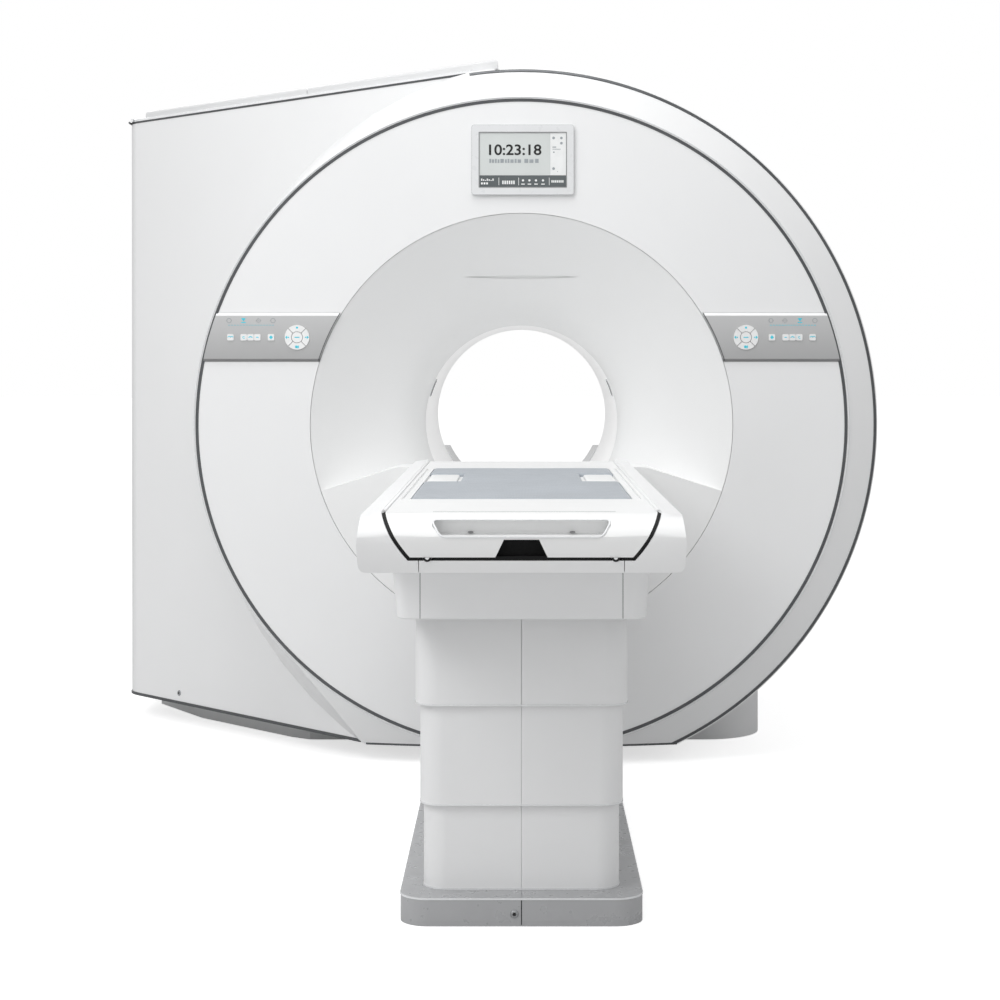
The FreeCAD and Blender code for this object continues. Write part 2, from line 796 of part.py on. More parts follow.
# ---- table top ----
def nose(solid, set_back):
    """Cuts a table piece to the rounded nose at the foot end."""
    top = max(deck_top_z, cradle_top_z)
    start = V(-FAR, nose_start_y, top)
    front = V(-FAR, table_front_y, nose_z)
    half_way = math.sqrt(0.5)
    middle = V(-FAR, nose_start_y - (nose_start_y - table_front_y) * half_way,
               nose_z + (top - nose_z) * half_way)
    low = V(-FAR, table_front_y + nose_tuck, deck_bottom_z)
    rear_low, rear_high = V(-FAR, 0, deck_bottom_z), V(-FAR, 0, top)
    belly = V(-FAR, table_front_y + nose_tuck * belly_share, (nose_z + deck_bottom_z) / 2)
    side = Part.Face(Part.Wire([
        Part.Arc(start, middle, front).toShape(),
        Part.Arc(front, belly, low).toShape(),
        Part.makeLine(low, rear_low),
        Part.makeLine(rear_low, rear_high),
        Part.makeLine(rear_high, start),
    ]))
    side.translate(V(0, set_back, 0))
    return solid.common(side.extrude(V(2 * FAR, 0, 0)))


def deck_rail(side):
    """One long side of the table top, from its outer wall to the seam in the floor."""
    inner = deck_seam_x + seam_gap / 2
    top_inner = math.sqrt(trough_r ** 2 - (bore_z - deck_top_z) ** 2)
    rail = prism_along_y([
        (inner, deck_bottom_z), (deck_half, deck_bottom_z),
        (deck_half + deck_side_bulge, (deck_bottom_z + deck_shoulder_z) / 2),
        (deck_half - deck_side_bulge, deck_shoulder_z), (top_inner, deck_top_z),
        (inner, deck_top_z),
    ], table_front_y, deck_rear_y)
    outer = [e for e in upright_edges(rail, "y")
             if e.Vertexes[0].X > deck_half - 2 * deck_side_bulge]
    low = [e for e in outer if e.Vertexes[0].Z < deck_bottom_z + 1]
    rail = rail.makeFillet(deck_corner_r, low)
    rail = rail.cut(cradle_way())
    return mirrored(nose(rail, 0.0), side)


def deck_centre():
    half = deck_seam_x - seam_gap / 2
    pan = box(-half, half, table_front_y, deck_rear_y, deck_bottom_z, floor_z)
    return nose(pan.cut(cradle_way()), 0.0)


def cradle_section(y0, y1):
    """The cradle's outer form: a slice of a cylinder, flat on top and below, with guide ribs."""
    form = cylinder_y(cradle_r, y0, y1).common(
        box(-FAR, FAR, y0, y1, cradle_bottom_z, cradle_top_z))
    for side in (-1, 1):
        form = form.fuse(cylinder_y(guide_r, y0, y1, side * guide_x, cradle_bottom_z))
    return form.removeSplitter()


def mat_plan(z0, z1, grow):
    return box(-mat_half - grow, mat_half + grow, mat_front_y - grow, mat_rear_y + grow, z0, z1)


def cradle_tray():
    tray = cradle_section(cap_rear_y + cover_gap, cradle_rear_y)
    tray = tray.cut(mat_plan(cradle_top_z - mat_recess, FAR, mat_gap))
    for side in (-1, 1):
        x = side * rail_x
        groove = box(x - rail_width / 2, x + rail_width / 2, mat_front_y, mat_rear_y,
                     cradle_top_z - rail_depth, FAR)
        tray = tray.cut(groove)
    return tray


def mat():
    z0 = cradle_top_z - mat_recess
    pad = mat_plan(z0, z0 + mat_thickness, 0.0)
    for side in (-1, 1):
        xs = sorted((side * notch_inner_x, side * (mat_half + 1)))
        pad = pad.cut(box(xs[0], xs[1], notch_front_y, notch_rear_y, 0, FAR))
    return pad


def end_cap():
    """The foot end of the cradle, with its pull handle and the latch opening under it."""
    cap = nose(cradle_section(table_front_y, cap_rear_y), cap_set_back)
    handle = prism_along_y([
        (-handle_half_low, handle_low_z), (handle_half_low, handle_low_z),
        (handle_half_high, handle_high_z), (-handle_half_high, handle_high_z),
    ], table_front_y - 1, table_front_y + handle_depth)
    handle = handle.makeFillet(handle_corner_r, upright_edges(handle, "y"))
    latch = prism_along_y([
        (-latch_low_half, cradle_bottom_z - 1), (latch_low_half, cradle_bottom_z - 1),
        (latch_high_half, latch_high_z), (-latch_high_half, latch_high_z),
    ], table_front_y - 1, table_front_y + latch_depth)
    return cap.cut(handle).cut(latch)


# ---- apron, shrouds, column and plinth ----
def apron():
    """The skirt under the table top, open below, in one tapered ring."""
    def layer(shrink, z0, z1, block):
        def outline(half, z):
            plate = block(-half + shrink, half - shrink, apron_front_y + shrink,
                          apron_rear_y - shrink, z, z + 1, apron_corner_r - shrink, "z")
            face = min(plate.Faces, key=lambda f: f.CenterOfMass.z)
            return face.OuterWire
        return Part.makeLoft([outline(apron_half_bottom, z0), outline(apron_half_top, z1)],
                             True, True)
    skirt = layer(0.0, apron_bottom_z, deck_bottom_z, rounded_block)
    return skirt.cut(layer(apron_wall, apron_bottom_z - 1, deck_bottom_z + 1, cut_corner_block))


def shroud(tier, side):
    """Half of one tier of the telescopic shroud, split at the middle. Each tier hangs from the
    one above by a strip along its top edge, which rests on a strip along that one's bottom."""
    half, front = tier_halves[tier], tier_fronts[tier]
    rear = shroud_rear_y - tier_step * tier
    z0, z1 = tier_bottoms[tier], tier_tops[tier]
    wall = shroud_wall
    outer = rounded_block(-half, half, front, rear, z0, z1, shroud_corner_r)
    inner = rounded_block(-half + wall, half - wall, front + wall, rear - wall, z0 - 1, z1 + 1,
                          shroud_corner_r - wall)
    shell = outer.cut(inner).common(box(shroud_seam / 2, FAR, -FAR, FAR, 0, FAR))
    y0, y1 = front + shroud_corner_r, rear - shroud_corner_r
    strip_height = (tier_lap - seat_gap) / 2
    if tier > 0:
        above = tier_halves[tier - 1] - wall - seat_gap
        shell = shell.fuse(box(half, above, y0, y1, z1 - strip_height, z1))
    if tier < 2:
        below = tier_halves[tier + 1] + seat_gap
        shell = shell.fuse(box(below, half - wall, y0, y1, z0, z0 + strip_height))
    return mirrored(shell, side)


def column_stage(stage):
    wall = column_wall
    half = column_half - stage * (wall + seat_gap)
    z0, z1 = column_bottoms[stage], column_tops[stage]
    tube = box(-half, half, column_y - half, column_y + half, z0, z1)
    return tube.cut(box(-half + wall, half - wall, column_y - half + wall,
                        column_y + half - wall, z0 - 1, z1 + 1))


def table_base():
    """The anchored steel plate with the fixed stage of the lifting column."""
    inset = plinth_wall + seat_gap
    plate = cut_corner_block(-plinth_half + inset, plinth_half - inset, plinth_front_y + inset,
                             plinth_rear_y - inset, 0, base_plate, plinth_corner_r - inset, "z")
    for sx in (-1, 1):
        for sy in (-1, 1):
            at = V(sx * base_hole_x, column_y + sy * base_hole_y, -1)
            plate = plate.cut(Part.makeCylinder(anchor_hole_r, base_plate + 2, at))
    return plate.fuse(column_stage(0))


def plinth(side):
    """Half of the low floor cover of the table."""
    outer = rounded_block(-plinth_half, plinth_half, plinth_front_y, plinth_rear_y, 0,
                          plinth_height, plinth_corner_r)
    wall = plinth_wall
    inner = cut_corner_block(-plinth_half + wall, plinth_half - wall, plinth_front_y + wall,
                             plinth_rear_y - wall, -1, plinth_height - wall,
                             plinth_corner_r - wall, "z")
    half, front = tier_halves[2], tier_fronts[2]
    rear = shroud_rear_y - tier_step * 2
    margin = plinth_opening_margin
    opening = box(-half + margin, half - margin, front + margin, rear - margin, 0, FAR)
    halves = outer.cut(inner).cut(opening).common(box(shroud_seam / 2, FAR, -FAR, FAR, -1, FAR))
    return mirrored(halves, side)


PIECES = {
    "front_cover": front_cover,
    "rear_cover": rear_cover,
    "funnel": funnel,
    "bore_tube": bore_tube,
    "bore_bridge": bore_bridge,
    "face_upper": face_upper,
    "face_lower": face_lower,
    "panel_left": lambda: panel(-1),
    "panel_right": lambda: panel(1),
    "display_frame": display_frame,
    "display_screen": display_screen,
    "roof_lid_left": lambda: roof_lid(-FAR, lid_seam_x - seam_gap / 2),
    "roof_lid_right": lambda: roof_lid(lid_seam_x + seam_gap / 2, lid_right_x),
    "pedestal": pedestal,
    "magnet_vessel": magnet_vessel,
    "cold_head": cold_head,
    "gradient_coil": gradient_coil,
    "magnet_feet": magnet_feet,
    "table_base": table_base,
    "lift_stage_middle": lambda: column_stage(1),
    "lift_stage_top": lambda: column_stage(2),
    "apron": apron,
    "deck_centre": deck_centre,
    "cradle_tray": cradle_tray,
    "end_cap": end_cap,
    "mat": mat,
}
for side, word in ((-1, "left"), (1, "right")):
    PIECES["plinth_" + word] = lambda side=side: plinth(side)
    PIECES["deck_" + word] = lambda side=side: deck_rail(side)
    for tier, level in enumerate(("upper", "middle", "lower")):
        PIECES["shroud_%s_%s" % (level, word)] = lambda tier=tier, side=side: shroud(tier, side)
    PIECES["pad_%s_centre" % word] = lambda side=side: pad_centre(side)
    for turn, place in enumerate(("outer", "up", "inner", "down")):
        PIECES["pad_%s_%s" % (word, place)] = lambda side=side, turn=turn: pad_quadrant(side, turn)
    for index in range(len(key_xs)):
        PIECES["key_%s_%d" % (word, index + 1)] = lambda side=side, index=index: key(side, index)

os.makedirs("parts", exist_ok=True)
for name, make in PIECES.items():
    make().exportStep("parts/%s.step" % name)
print(len(PIECES), "pieces")
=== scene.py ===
"""The scanner's looks: materials on every CAD node, the soft mat, trims, marks, small fittings,
lights, floor and camera. All lengths are in metres in the CAD's own frame."""

import json
import math

import bpy
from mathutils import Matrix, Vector

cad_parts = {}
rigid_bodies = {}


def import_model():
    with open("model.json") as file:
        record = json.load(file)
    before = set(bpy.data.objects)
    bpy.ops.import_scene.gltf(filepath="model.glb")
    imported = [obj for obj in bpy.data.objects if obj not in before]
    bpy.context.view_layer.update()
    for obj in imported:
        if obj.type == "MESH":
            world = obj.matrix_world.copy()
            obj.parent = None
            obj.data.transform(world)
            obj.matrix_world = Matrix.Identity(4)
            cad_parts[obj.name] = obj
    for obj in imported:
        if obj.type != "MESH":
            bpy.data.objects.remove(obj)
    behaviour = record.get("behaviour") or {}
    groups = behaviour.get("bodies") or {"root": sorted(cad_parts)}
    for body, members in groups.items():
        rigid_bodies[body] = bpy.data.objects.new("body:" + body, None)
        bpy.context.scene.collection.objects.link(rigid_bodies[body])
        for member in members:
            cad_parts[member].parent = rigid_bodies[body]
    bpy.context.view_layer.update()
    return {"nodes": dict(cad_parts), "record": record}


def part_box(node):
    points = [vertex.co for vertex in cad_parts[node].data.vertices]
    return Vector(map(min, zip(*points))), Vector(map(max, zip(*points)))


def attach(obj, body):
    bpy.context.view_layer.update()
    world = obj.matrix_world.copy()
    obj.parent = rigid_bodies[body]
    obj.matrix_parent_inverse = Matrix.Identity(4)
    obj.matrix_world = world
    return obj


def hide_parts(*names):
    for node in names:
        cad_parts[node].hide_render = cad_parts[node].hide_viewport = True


for leftover in list(bpy.data.objects):
    bpy.data.objects.remove(leftover, do_unlink=True)

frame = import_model()
nodes = frame["nodes"]
scene = bpy.context.scene

# ---- shared sizes of the CAD part ----
BORE_Z = 1.068
FACE_Y = -0.850
RIM_Y = -0.805
FLAT_Z = 0.056
RING_R = 1.021
COLLAR_R = 1.030
RIM_R = 1.126
FLANK_TOP_X = -0.166
FLANK_TOP_Z = 2.181
FLANK_FALL = 0.9546          # Y per X along the flank, seen from above
FLANK_LEAN = 0.16132         # X per Z of its front edge
FLANK_FOOT_X = -0.508
FLANK_FOOT_Z = 0.061
ROOF_SLOPE = 0.0138
UNDERSIDE_SLOPE = -0.02027
CORNER_X = -1.470            # rear left corner at the height of the roof
CORNER_Z = 2.163
CORNER_R = 0.100
SIDE_LEAN = 0.0355
SIDE_END_Y = 0.418
GANTRY_HALF = 0.850
TROUGH_R = 0.311
CRADLE_R = 0.303
DECK_TOP_Z = 0.959
NOSE = (-3.164, 0.912)       # foremost point of the table, as (y, z)
PLINTH_FRONT_Y = -2.733
PLINTH_REAR_Y = -1.300
FRONT = Vector((0, -1, 0))
REAR = Vector((0, 1, 0))
SIDES = (("left", -1), ("right", 1))

# ---- the photograph's camera ----
EYE_Y = -7.450
EYE_Z = 1.277
PHOTO_FOCAL = 2100           # pixels
PHOTO_X = 521.5              # the pixel column that shows X = 0
PHOTO_Y = 358                # the pixel row at the camera's height

# ---- sizes that many small pieces share ----
SUNK = 0.0001                # a flat mark starts this far behind its surface
MARK_THICK = 0.0004
SHARP = math.radians(24)     # an edge that turns less is shaded smooth
SHARP_ON_NOSE = math.radians(55)
BEVEL_ABOVE = math.radians(40)
WELD = 2e-5                  # corners closer than this are joined


# ---- node materials ----
def add_node(tree, kind, inputs=(), **settings):
    node = tree.nodes.new(kind)
    for key, value in settings.items():
        setattr(node, key, value)
    for key, value in dict(inputs).items():
        node.inputs[key].default_value = value
    return node


def link(source, target):
    target.id_data.links.new(source, target)


def noise(tree, scale, detail=2.0, stretch=(1, 1, 1)):
    """The factor output of a noise that is fixed to the piece, with scale in cells per metre."""
    place = add_node(tree, "ShaderNodeTexCoord")
    spread = add_node(tree, "ShaderNodeMapping", {"Scale": stretch})
    cells = add_node(tree, "ShaderNodeTexNoise", {"Scale": scale, "Detail": detail})
    link(place.outputs["Object"], spread.inputs["Vector"])
    link(spread.outputs["Vector"], cells.inputs["Vector"])
    return cells.outputs["Fac"]


def ranged(tree, value, low, high):
    node = add_node(tree, "ShaderNodeMapRange", {"From Min": 0.3, "From Max": 0.7,
                                                 "To Min": low, "To Max": high})
    link(value, node.inputs["Value"])
    return node.outputs["Result"]


def mixed(tree, factor, dark, light):
    node = add_node(tree, "ShaderNodeMix", data_type="RGBA")
    node.inputs["A"].default_value = (*dark, 1)
    node.inputs["B"].default_value = (*light, 1)
    link(factor, node.inputs["Factor"])
    return node.outputs["Result"]


def paint(name, colour, rough, *, tint=0.02, broad=1.7, grain=420.0, bump=0.025, depth=0.0002,
          metallic=0.0, coat=0.0, coat_rough=0.2, sheen=0.0, stretch=(1, 1, 1), spread=0.05):
    """A moulded, painted or metal surface: broad tone changes, fine grain and uneven gloss."""
    material = bpy.data.materials.new(name)
    material.use_nodes = True
    tree = material.node_tree
    shader = tree.nodes["Principled BSDF"]
    clouds = noise(tree, broad, 3.0)
    dark = tuple(c * (1 - tint) for c in colour)
    light = tuple(min(c * (1 + tint), 1.0) for c in colour)
    link(mixed(tree, ranged(tree, clouds, 0, 1), dark, light), shader.inputs["Base Color"])
    patches = noise(tree, broad * 6, 4.0, stretch)
    link(ranged(tree, patches, rough - spread, rough + spread), shader.inputs["Roughness"])
    relief = add_node(tree, "ShaderNodeBump", {"Strength": bump, "Distance": depth})
    link(noise(tree, grain, 2.0, stretch), relief.inputs["Height"])
    link(relief.outputs["Normal"], shader.inputs["Normal"])
    for key, value in (("Metallic", metallic), ("Coat Weight", coat),
                       ("Coat Roughness", coat_rough), ("Sheen Weight", sheen)):
        shader.inputs[key].default_value = value
    return material


def multiplied(material, tint):
    """Multiplies a material's colour by a colour output of its tree."""
    tree = material.node_tree
    base = tree.nodes["Principled BSDF"].inputs["Base Color"]
    product = add_node(tree, "ShaderNodeMix", data_type="RGBA", blend_type="MULTIPLY")
    product.inputs["Factor"].default_value = 1.0
    link(base.links[0].from_socket, product.inputs["A"])
    link(tint, product.inputs["B"])
    link(product.outputs["Result"], base)


def seen_by_camera(tree, seen, unseen, end):
    """One shader for what the camera sees and another for the light that it gives."""
    path = add_node(tree, "ShaderNodeLightPath")
    choose = add_node(tree, "ShaderNodeMixShader")
    link(path.outputs["Is Camera Ray"], choose.inputs["Fac"])
    link(unseen, choose.inputs[1])
    link(seen, choose.inputs[2])
    link(choose.outputs["Shader"], end.inputs["Surface"])


def painted_light_by_height(material, low_z, high_z, tones):
    """Multiplies a material's colour by painted light and shade along its height, each (share of
    height, tone).
    """
    tree = material.node_tree
    place = add_node(tree, "ShaderNodeTexCoord")
    split = add_node(tree, "ShaderNodeSeparateXYZ")
    height = add_node(tree, "ShaderNodeMapRange", {"From Min": low_z, "From Max": high_z})
    ramp = add_node(tree, "ShaderNodeValToRGB")
    stops = ramp.color_ramp.elements
    while len(stops) < len(tones):
        stops.new(0.5)
    for stop, (share, tone) in zip(stops, tones):
        stop.position = share
        stop.color = (tone,) * 3 + (1,)
    link(place.outputs["Object"], split.inputs["Vector"])
    link(split.outputs["Z"], height.inputs["Value"])
    link(height.outputs["Result"], ramp.inputs["Fac"])
    multiplied(material, ramp.outputs["Color"])
    return material


def glowing(material, strength):
    """Adds an even white glow: painted light on the bore tube, and an even white on the floor."""
    shader = material.node_tree.nodes["Principled BSDF"]
    shader.inputs["Emission Color"].default_value = (1, 1, 1, 1)
    shader.inputs["Emission Strength"].default_value = strength
    return material


WHITE = (0.86, 0.865, 0.87)
BAND_LOW_Z, BAND_HIGH_Z = 1.266, 1.419
# painted light and shade on the band: a dark strip at the foot as painted shade, grey that
# lightens upwards as painted light, and a bright strip at the top as a painted highlight
BAND_PAINTED_LIGHT = ((0.0, 0.30), (0.052, 0.31), (0.06, 0.46), (0.93, 0.62), (0.945, 1.0), (1.0, 1.0))
# painted light: the bore tube glows, though it is no lamp
TUBE_PAINTED_GLOW = 0.15
looks = {
    "cover_white": paint("cover_paint", WHITE, 0.36, tint=0.012, coat=0.15),
    "face_white": paint("face_paint", (0.87, 0.875, 0.88), 0.33, tint=0.012, coat=0.2),
    "funnel_white": paint("funnel_paint", (0.89, 0.895, 0.895), 0.40, tint=0.012, coat=0.1),
    "tube_white": glowing(paint("tube_laminate", (0.88, 0.88, 0.88), 0.5, tint=0.015, grain=300),
                          TUBE_PAINTED_GLOW),
    # the band carries painted shade at its foot and a painted highlight at its top
    "panel_grey": painted_light_by_height(paint("band_silver", (0.90, 0.905, 0.91), 0.40, grain=300, bump=0.01),
                         BAND_LOW_Z, BAND_HIGH_Z, BAND_PAINTED_LIGHT),
    "key_white": paint("key_plastic", (0.88, 0.885, 0.885), 0.32, broad=30.0, grain=2500,
                       coat=0.15),
    "bezel_grey": paint("bezel_plastic", (0.76, 0.77, 0.78), 0.30, broad=8.0, grain=1800,
                        coat=0.2),
    "screen": paint("screen_glass", (0.62, 0.63, 0.635), 0.12, tint=0.01, broad=4.0, grain=300,
                    bump=0.01, coat=0.6, coat_rough=0.05),
    "pedestal_grey": paint("pedestal_paint", (0.76, 0.765, 0.77), 0.50, tint=0.03, grain=500,
                           bump=0.12),
    "vessel_metal": paint("vessel_steel", (0.62, 0.63, 0.64), 0.36, metallic=0.85, tint=0.05,
                          grain=240, stretch=(1, 6, 1), bump=0.15),
    "coil_resin": paint("coil_resin", (0.42, 0.35, 0.19), 0.30, tint=0.12, broad=7.0, grain=160,
                        bump=0.3, coat=0.4),
    "cold_head_metal": paint("cold_head_steel", (0.55, 0.56, 0.57), 0.30, metallic=0.9, tint=0.05,
                             grain=900, stretch=(1, 1, 8), bump=0.15),
    "cast_feet": paint("cast_paint", (0.10, 0.105, 0.11), 0.55, tint=0.10, broad=9.0, grain=260,
                       bump=0.5, depth=0.0006),
    "column_steel": paint("column_paint", (0.45, 0.46, 0.47), 0.38, tint=0.03, metallic=0.4,
                          grain=700, bump=0.1),
    "table_white": paint("table_paint", WHITE, 0.38, tint=0.010, broad=3.0, grain=260, bump=0.008,
                         coat=0.1),
    "cradle_white": paint("cradle_laminate", (0.88, 0.885, 0.885), 0.36, tint=0.010, broad=3.0,
                          grain=260, bump=0.008, coat=0.1),
    "mat_grey": paint("mat_vinyl", (0.46, 0.50, 0.55), 0.55),
    "shroud_white": paint("shroud_plastic", (0.85, 0.855, 0.86), 0.42, tint=0.012, broad=3.0,
                          grain=500, bump=0.1),
    "plinth_grey": paint("plinth_paint", (0.45, 0.455, 0.465), 0.30, tint=0.03, broad=5.0,
                         metallic=0.15, grain=200, bump=0.006),
}
trim_dark = paint("trim_anodised", (0.115, 0.12, 0.125), 0.34, tint=0.10, broad=14.0,
                  metallic=0.55, grain=1600, bump=0.15)
trim_light = paint("trim_satin", (0.80, 0.81, 0.82), 0.25, broad=10.0, grain=1500, coat=0.3)
seam_grey = paint("seam_shadow", (0.26, 0.265, 0.27), 0.6, tint=0.08, broad=20.0)
# painted shade: near-black for the gap beside the cradle, the latch recess and the rings round the
# rib ends
shade_black = paint("gap_rubber", (0.004, 0.004, 0.0045), 0.75, tint=0.2, broad=40.0, grain=1800,
               bump=0.3)
screw_steel = paint("screw_steel", (0.42, 0.43, 0.44), 0.28, tint=0.08, broad=90.0, metallic=0.9,
                    grain=3000, bump=0.2)
ink_cyan = paint("ink_cyan", (0.06, 0.62, 0.76), 0.45, tint=0.06, broad=120.0, grain=4000)
ink_grey = paint("ink_grey", (0.33, 0.36, 0.38), 0.45, tint=0.06, broad=120.0, grain=4000)
ink_black = paint("ink_black", (0.012, 0.012, 0.013), 0.35, tint=0.2, broad=90.0, grain=4000)
ink_white = paint("ink_white", (0.85, 0.86, 0.86), 0.35, broad=60.0, grain=4000)
field_grey = paint("screen_field", (0.66, 0.69, 0.68), 0.14, broad=9.0, grain=900, bump=0.02,
                   coat=0.5, coat_rough=0.05)
bar_grey = paint("screen_bar", (0.105, 0.12, 0.125), 0.14, tint=0.05, broad=9.0, grain=900,
                 bump=0.02, coat=0.5, coat_rough=0.05)
vent_black = paint("vent_shadow", (0.02, 0.02, 0.021), 0.7, tint=0.15, broad=30.0)


# ---- CAD nodes: a material each, soft shading over the facets ----
def weld_group(angle):
    """Joins the facets and shades them smooth, but keeps edges sharper than the angle."""
    group = bpy.data.node_groups.new("weld_and_smooth", "GeometryNodeTree")
    for way in ("INPUT", "OUTPUT"):
        group.interface.new_socket("Geometry", in_out=way, socket_type="NodeSocketGeometry")
    group.is_modifier = True
    start = group.nodes.new("NodeGroupInput")
    end = group.nodes.new("NodeGroupOutput")
    join = add_node(group, "GeometryNodeMergeByDistance", {"Distance": WELD})
    forget = add_node(group, "GeometryNodeRemoveAttribute", {"Name": "custom_normal"})
    faces = add_node(group, "GeometryNodeSetShadeSmooth", domain="FACE")
    edges = add_node(group, "GeometryNodeSetShadeSmooth", domain="EDGE")
    turn = add_node(group, "GeometryNodeInputMeshEdgeAngle")
    soft = add_node(group, "FunctionNodeCompare", {1: angle}, data_type="FLOAT",
                    operation="LESS_THAN")
    chain = [start, join, forget, faces, edges, end]
    for near, far in zip(chain, chain[1:]):
        link(near.outputs[0], far.inputs[0])
    link(turn.outputs["Unsigned Angle"], soft.inputs[0])
    link(soft.outputs[0], edges.inputs["Shade Smooth"])
    return group


soften = weld_group(SHARP)
soften_more = weld_group(SHARP_ON_NOSE)
ROUND_NOSED = ("end_cap", "deck_left", "deck_right", "deck_centre")
EDGE_ROUND = {"shroud_upper": 0.003, "shroud_middle": 0.003, "shroud_lower": 0.002,
              "plinth": 0.006, "apron": 0.004, "display_frame": 0.0015, "pedestal": 0.004}


def round_edges(piece, name, width):
    """A small bevel on the edges that are sharp."""
    bevel = piece.modifiers.new(name, "BEVEL")
    bevel.width = width
    bevel.segments = 2
    bevel.limit_method = "ANGLE"
    bevel.angle_limit = BEVEL_ABOVE
    return bevel


slot_of = {part["node"]: part["material_slot"] for part in frame["record"]["subparts"]}
# painted shade: the roof lids get a darker copy of the cover white
lid_paint = paint("lid_paint", (0.74, 0.745, 0.75), 0.42, tint=0.015)
own_looks = {"roof_lid_left": lid_paint, "roof_lid_right": lid_paint}
for name, piece in nodes.items():
    for slot in piece.material_slots:
        slot.material = own_looks.get(name, looks[slot_of[name]])
    weld = piece.modifiers.new("weld_and_smooth", "NODES")
    weld.node_group = soften_more if name in ROUND_NOSED else soften
    width = EDGE_ROUND.get(name.removesuffix("_left").removesuffix("_right"))
    if width:
        round_edges(piece, "worn_edges", width).use_clamp_overlap = True
    weighted = piece.modifiers.new("even_normals", "WEIGHTED_NORMAL")
    weighted.keep_sharp = True
    weighted.weight = 100


# ---- building pieces ----
# bodies, with slot names, that several pieces share; the piece functions take the slot names but
# don't use them
ON_COVER = ("gantry", "cover_white")
ON_BAND = ("gantry", "panel_grey")
ON_TABLE = ("table_top", "table_white")
ON_CRADLE = ("cradle", "cradle_white")
ON_PLINTH = ("gantry", "plinth_grey")


def piece_from(name, corners, faces, material, body, bevel=0.0):
    """A piece of the scene, smooth over its facets, that rides on a body."""
    mesh = bpy.data.meshes.new(name)
    mesh.from_pydata([tuple(c) for c in corners], [], faces)
    mesh.validate()
    mesh.materials.append(material)
    piece = bpy.data.objects.new(name, mesh)
    scene.collection.objects.link(piece)
    for polygon in mesh.polygons:
        polygon.use_smooth = True
    if bevel:
        round_edges(piece, "round_off", bevel)
    weld = piece.modifiers.new("weld_and_smooth", "NODES")
    weld.node_group = soften
    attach(piece, body)
    return piece


def skin(name, rings, material, body, slot, loop=False, bevel=0.0):
    """A closed tube through rings of equal length. A loop joins its ends, others get caps."""
    count = len(rings[0])
    corners = [c for ring in rings for c in ring]
    faces = []
    spans = len(rings) if loop else len(rings) - 1
    for i in range(spans):
        near, far = i * count, (i + 1) % len(rings) * count
        for j in range(count):
            k = (j + 1) % count
            faces.append((near + j, near + k, far + k, far + j))
    if not loop:
        faces.append(tuple(reversed(range(count))))
        faces.append(tuple((len(rings) - 1) * count + j for j in range(count)))
    return piece_from(name, corners, faces, material, body, bevel=bevel)


def slabs(name, outlines, place, thick, material, body, slot, bevel=0.0):
    """Flat shapes in one piece. Each outline is a list of (across, up), and place turns
    (across, up, out) into a point."""
    corners, faces = [], []
    for outline in outlines:
        base, count = len(corners), len(outline)
        corners += [place(u, v, 0.0) for u, v in outline]
        corners += [place(u, v, thick) for u, v in outline]
        faces.append(tuple(base + i for i in reversed(range(count))))
        faces.append(tuple(base + count + i for i in range(count)))
        for i in range(count):
            k = (i + 1) % count
            faces.append((base + i, base + k, base + count + k, base + count + i))
    return piece_from(name, corners, faces, material, body, bevel=bevel)


def facing_front(y, x=0.0, z=0.0):
    """Shapes upright in the XZ plane at a point, standing out towards -Y."""
    return lambda u, v, out: Vector((x + u, y - out, z + v))


def rounded(width, height, radius, steps=4, cx=0.0, cy=0.0):
    """A rectangle with rounded corners, round (cx, cy)."""
    corners = []
    for sx, sy, start in ((1, 1, 0), (-1, 1, 90), (-1, -1, 180), (1, -1, 270)):
        for i in range(steps + 1):
            turn = math.radians(start + 90 * i / steps)
            corners.append((cx + sx * (width / 2 - radius) + radius * math.cos(turn),
                            cy + sy * (height / 2 - radius) + radius * math.sin(turn)))
    return corners


def disc(radius, steps=20, cx=0.0, cy=0.0):
    return [(cx + radius * math.cos(math.tau * i / steps),
             cy + radius * math.sin(math.tau * i / steps)) for i in range(steps)]


def rounded_polygon(points, radius, steps=4):
    """The corners of a polygon drawn as short arcs."""
    result = []
    count = len(points)
    for i in range(count):
        before, here, after = (Vector(points[(i + k) % count]) for k in (-1, 0, 1))
        back, on = (before - here).normalized(), (after - here).normalized()
        for j in range(steps + 1):
            share = j / steps
            a, b = here + back * radius, here + on * radius
            result.append(tuple((1 - share) ** 2 * a + 2 * share * (1 - share) * here
                                + share ** 2 * b))
    return result


def round_bore(radius, turn, y):
    return Vector((radius * math.cos(turn), y, BORE_Z + radius * math.sin(turn)))


def arc_strip(name, section, start, end, steps, material, slot="cover_white", body="gantry"):
    """A strip round the bore axis. section is a list of (radius, y), angles in degrees."""
    rings = []
    for i in range(steps + 1):
        turn = math.radians(start + (end - start) * i / steps)
        rings.append([round_bore(r, turn, y) for r, y in section])
    return skin(name, rings, material, body, slot)


# ---- trims on the gantry ----
RING_STEPS = 240
RIM_STEPS = 150
RIM_TRIM_R = (1.1130, 1.1145, 1.1205, 1.1220)    # foot, shoulder, shoulder, foot
RIM_TRIM_PROUD = (0.0012, 0.0022)                # at the foot and at the shoulder
TRIM_ROOT = 0.001                                # the trims reach this far into the cover


def flat_turn(radius):
    """How far below the horizontal an arc of this radius meets the flat underside, in degrees."""
    return math.degrees(math.asin((BORE_Z - FLAT_Z - TRIM_ROOT) / radius))


def round_face(name, profile, reach, material, slot):
    """A trim round the face, down to the flat underside. profile holds (out, proud) from the ring
    and the face, and reach is the radius that meets the underside."""
    low = flat_turn(reach)
    arc_strip(name, [(RING_R + out, FACE_Y - proud) for out, proud in profile],
              -low, 180 + low, RING_STEPS, material, slot)


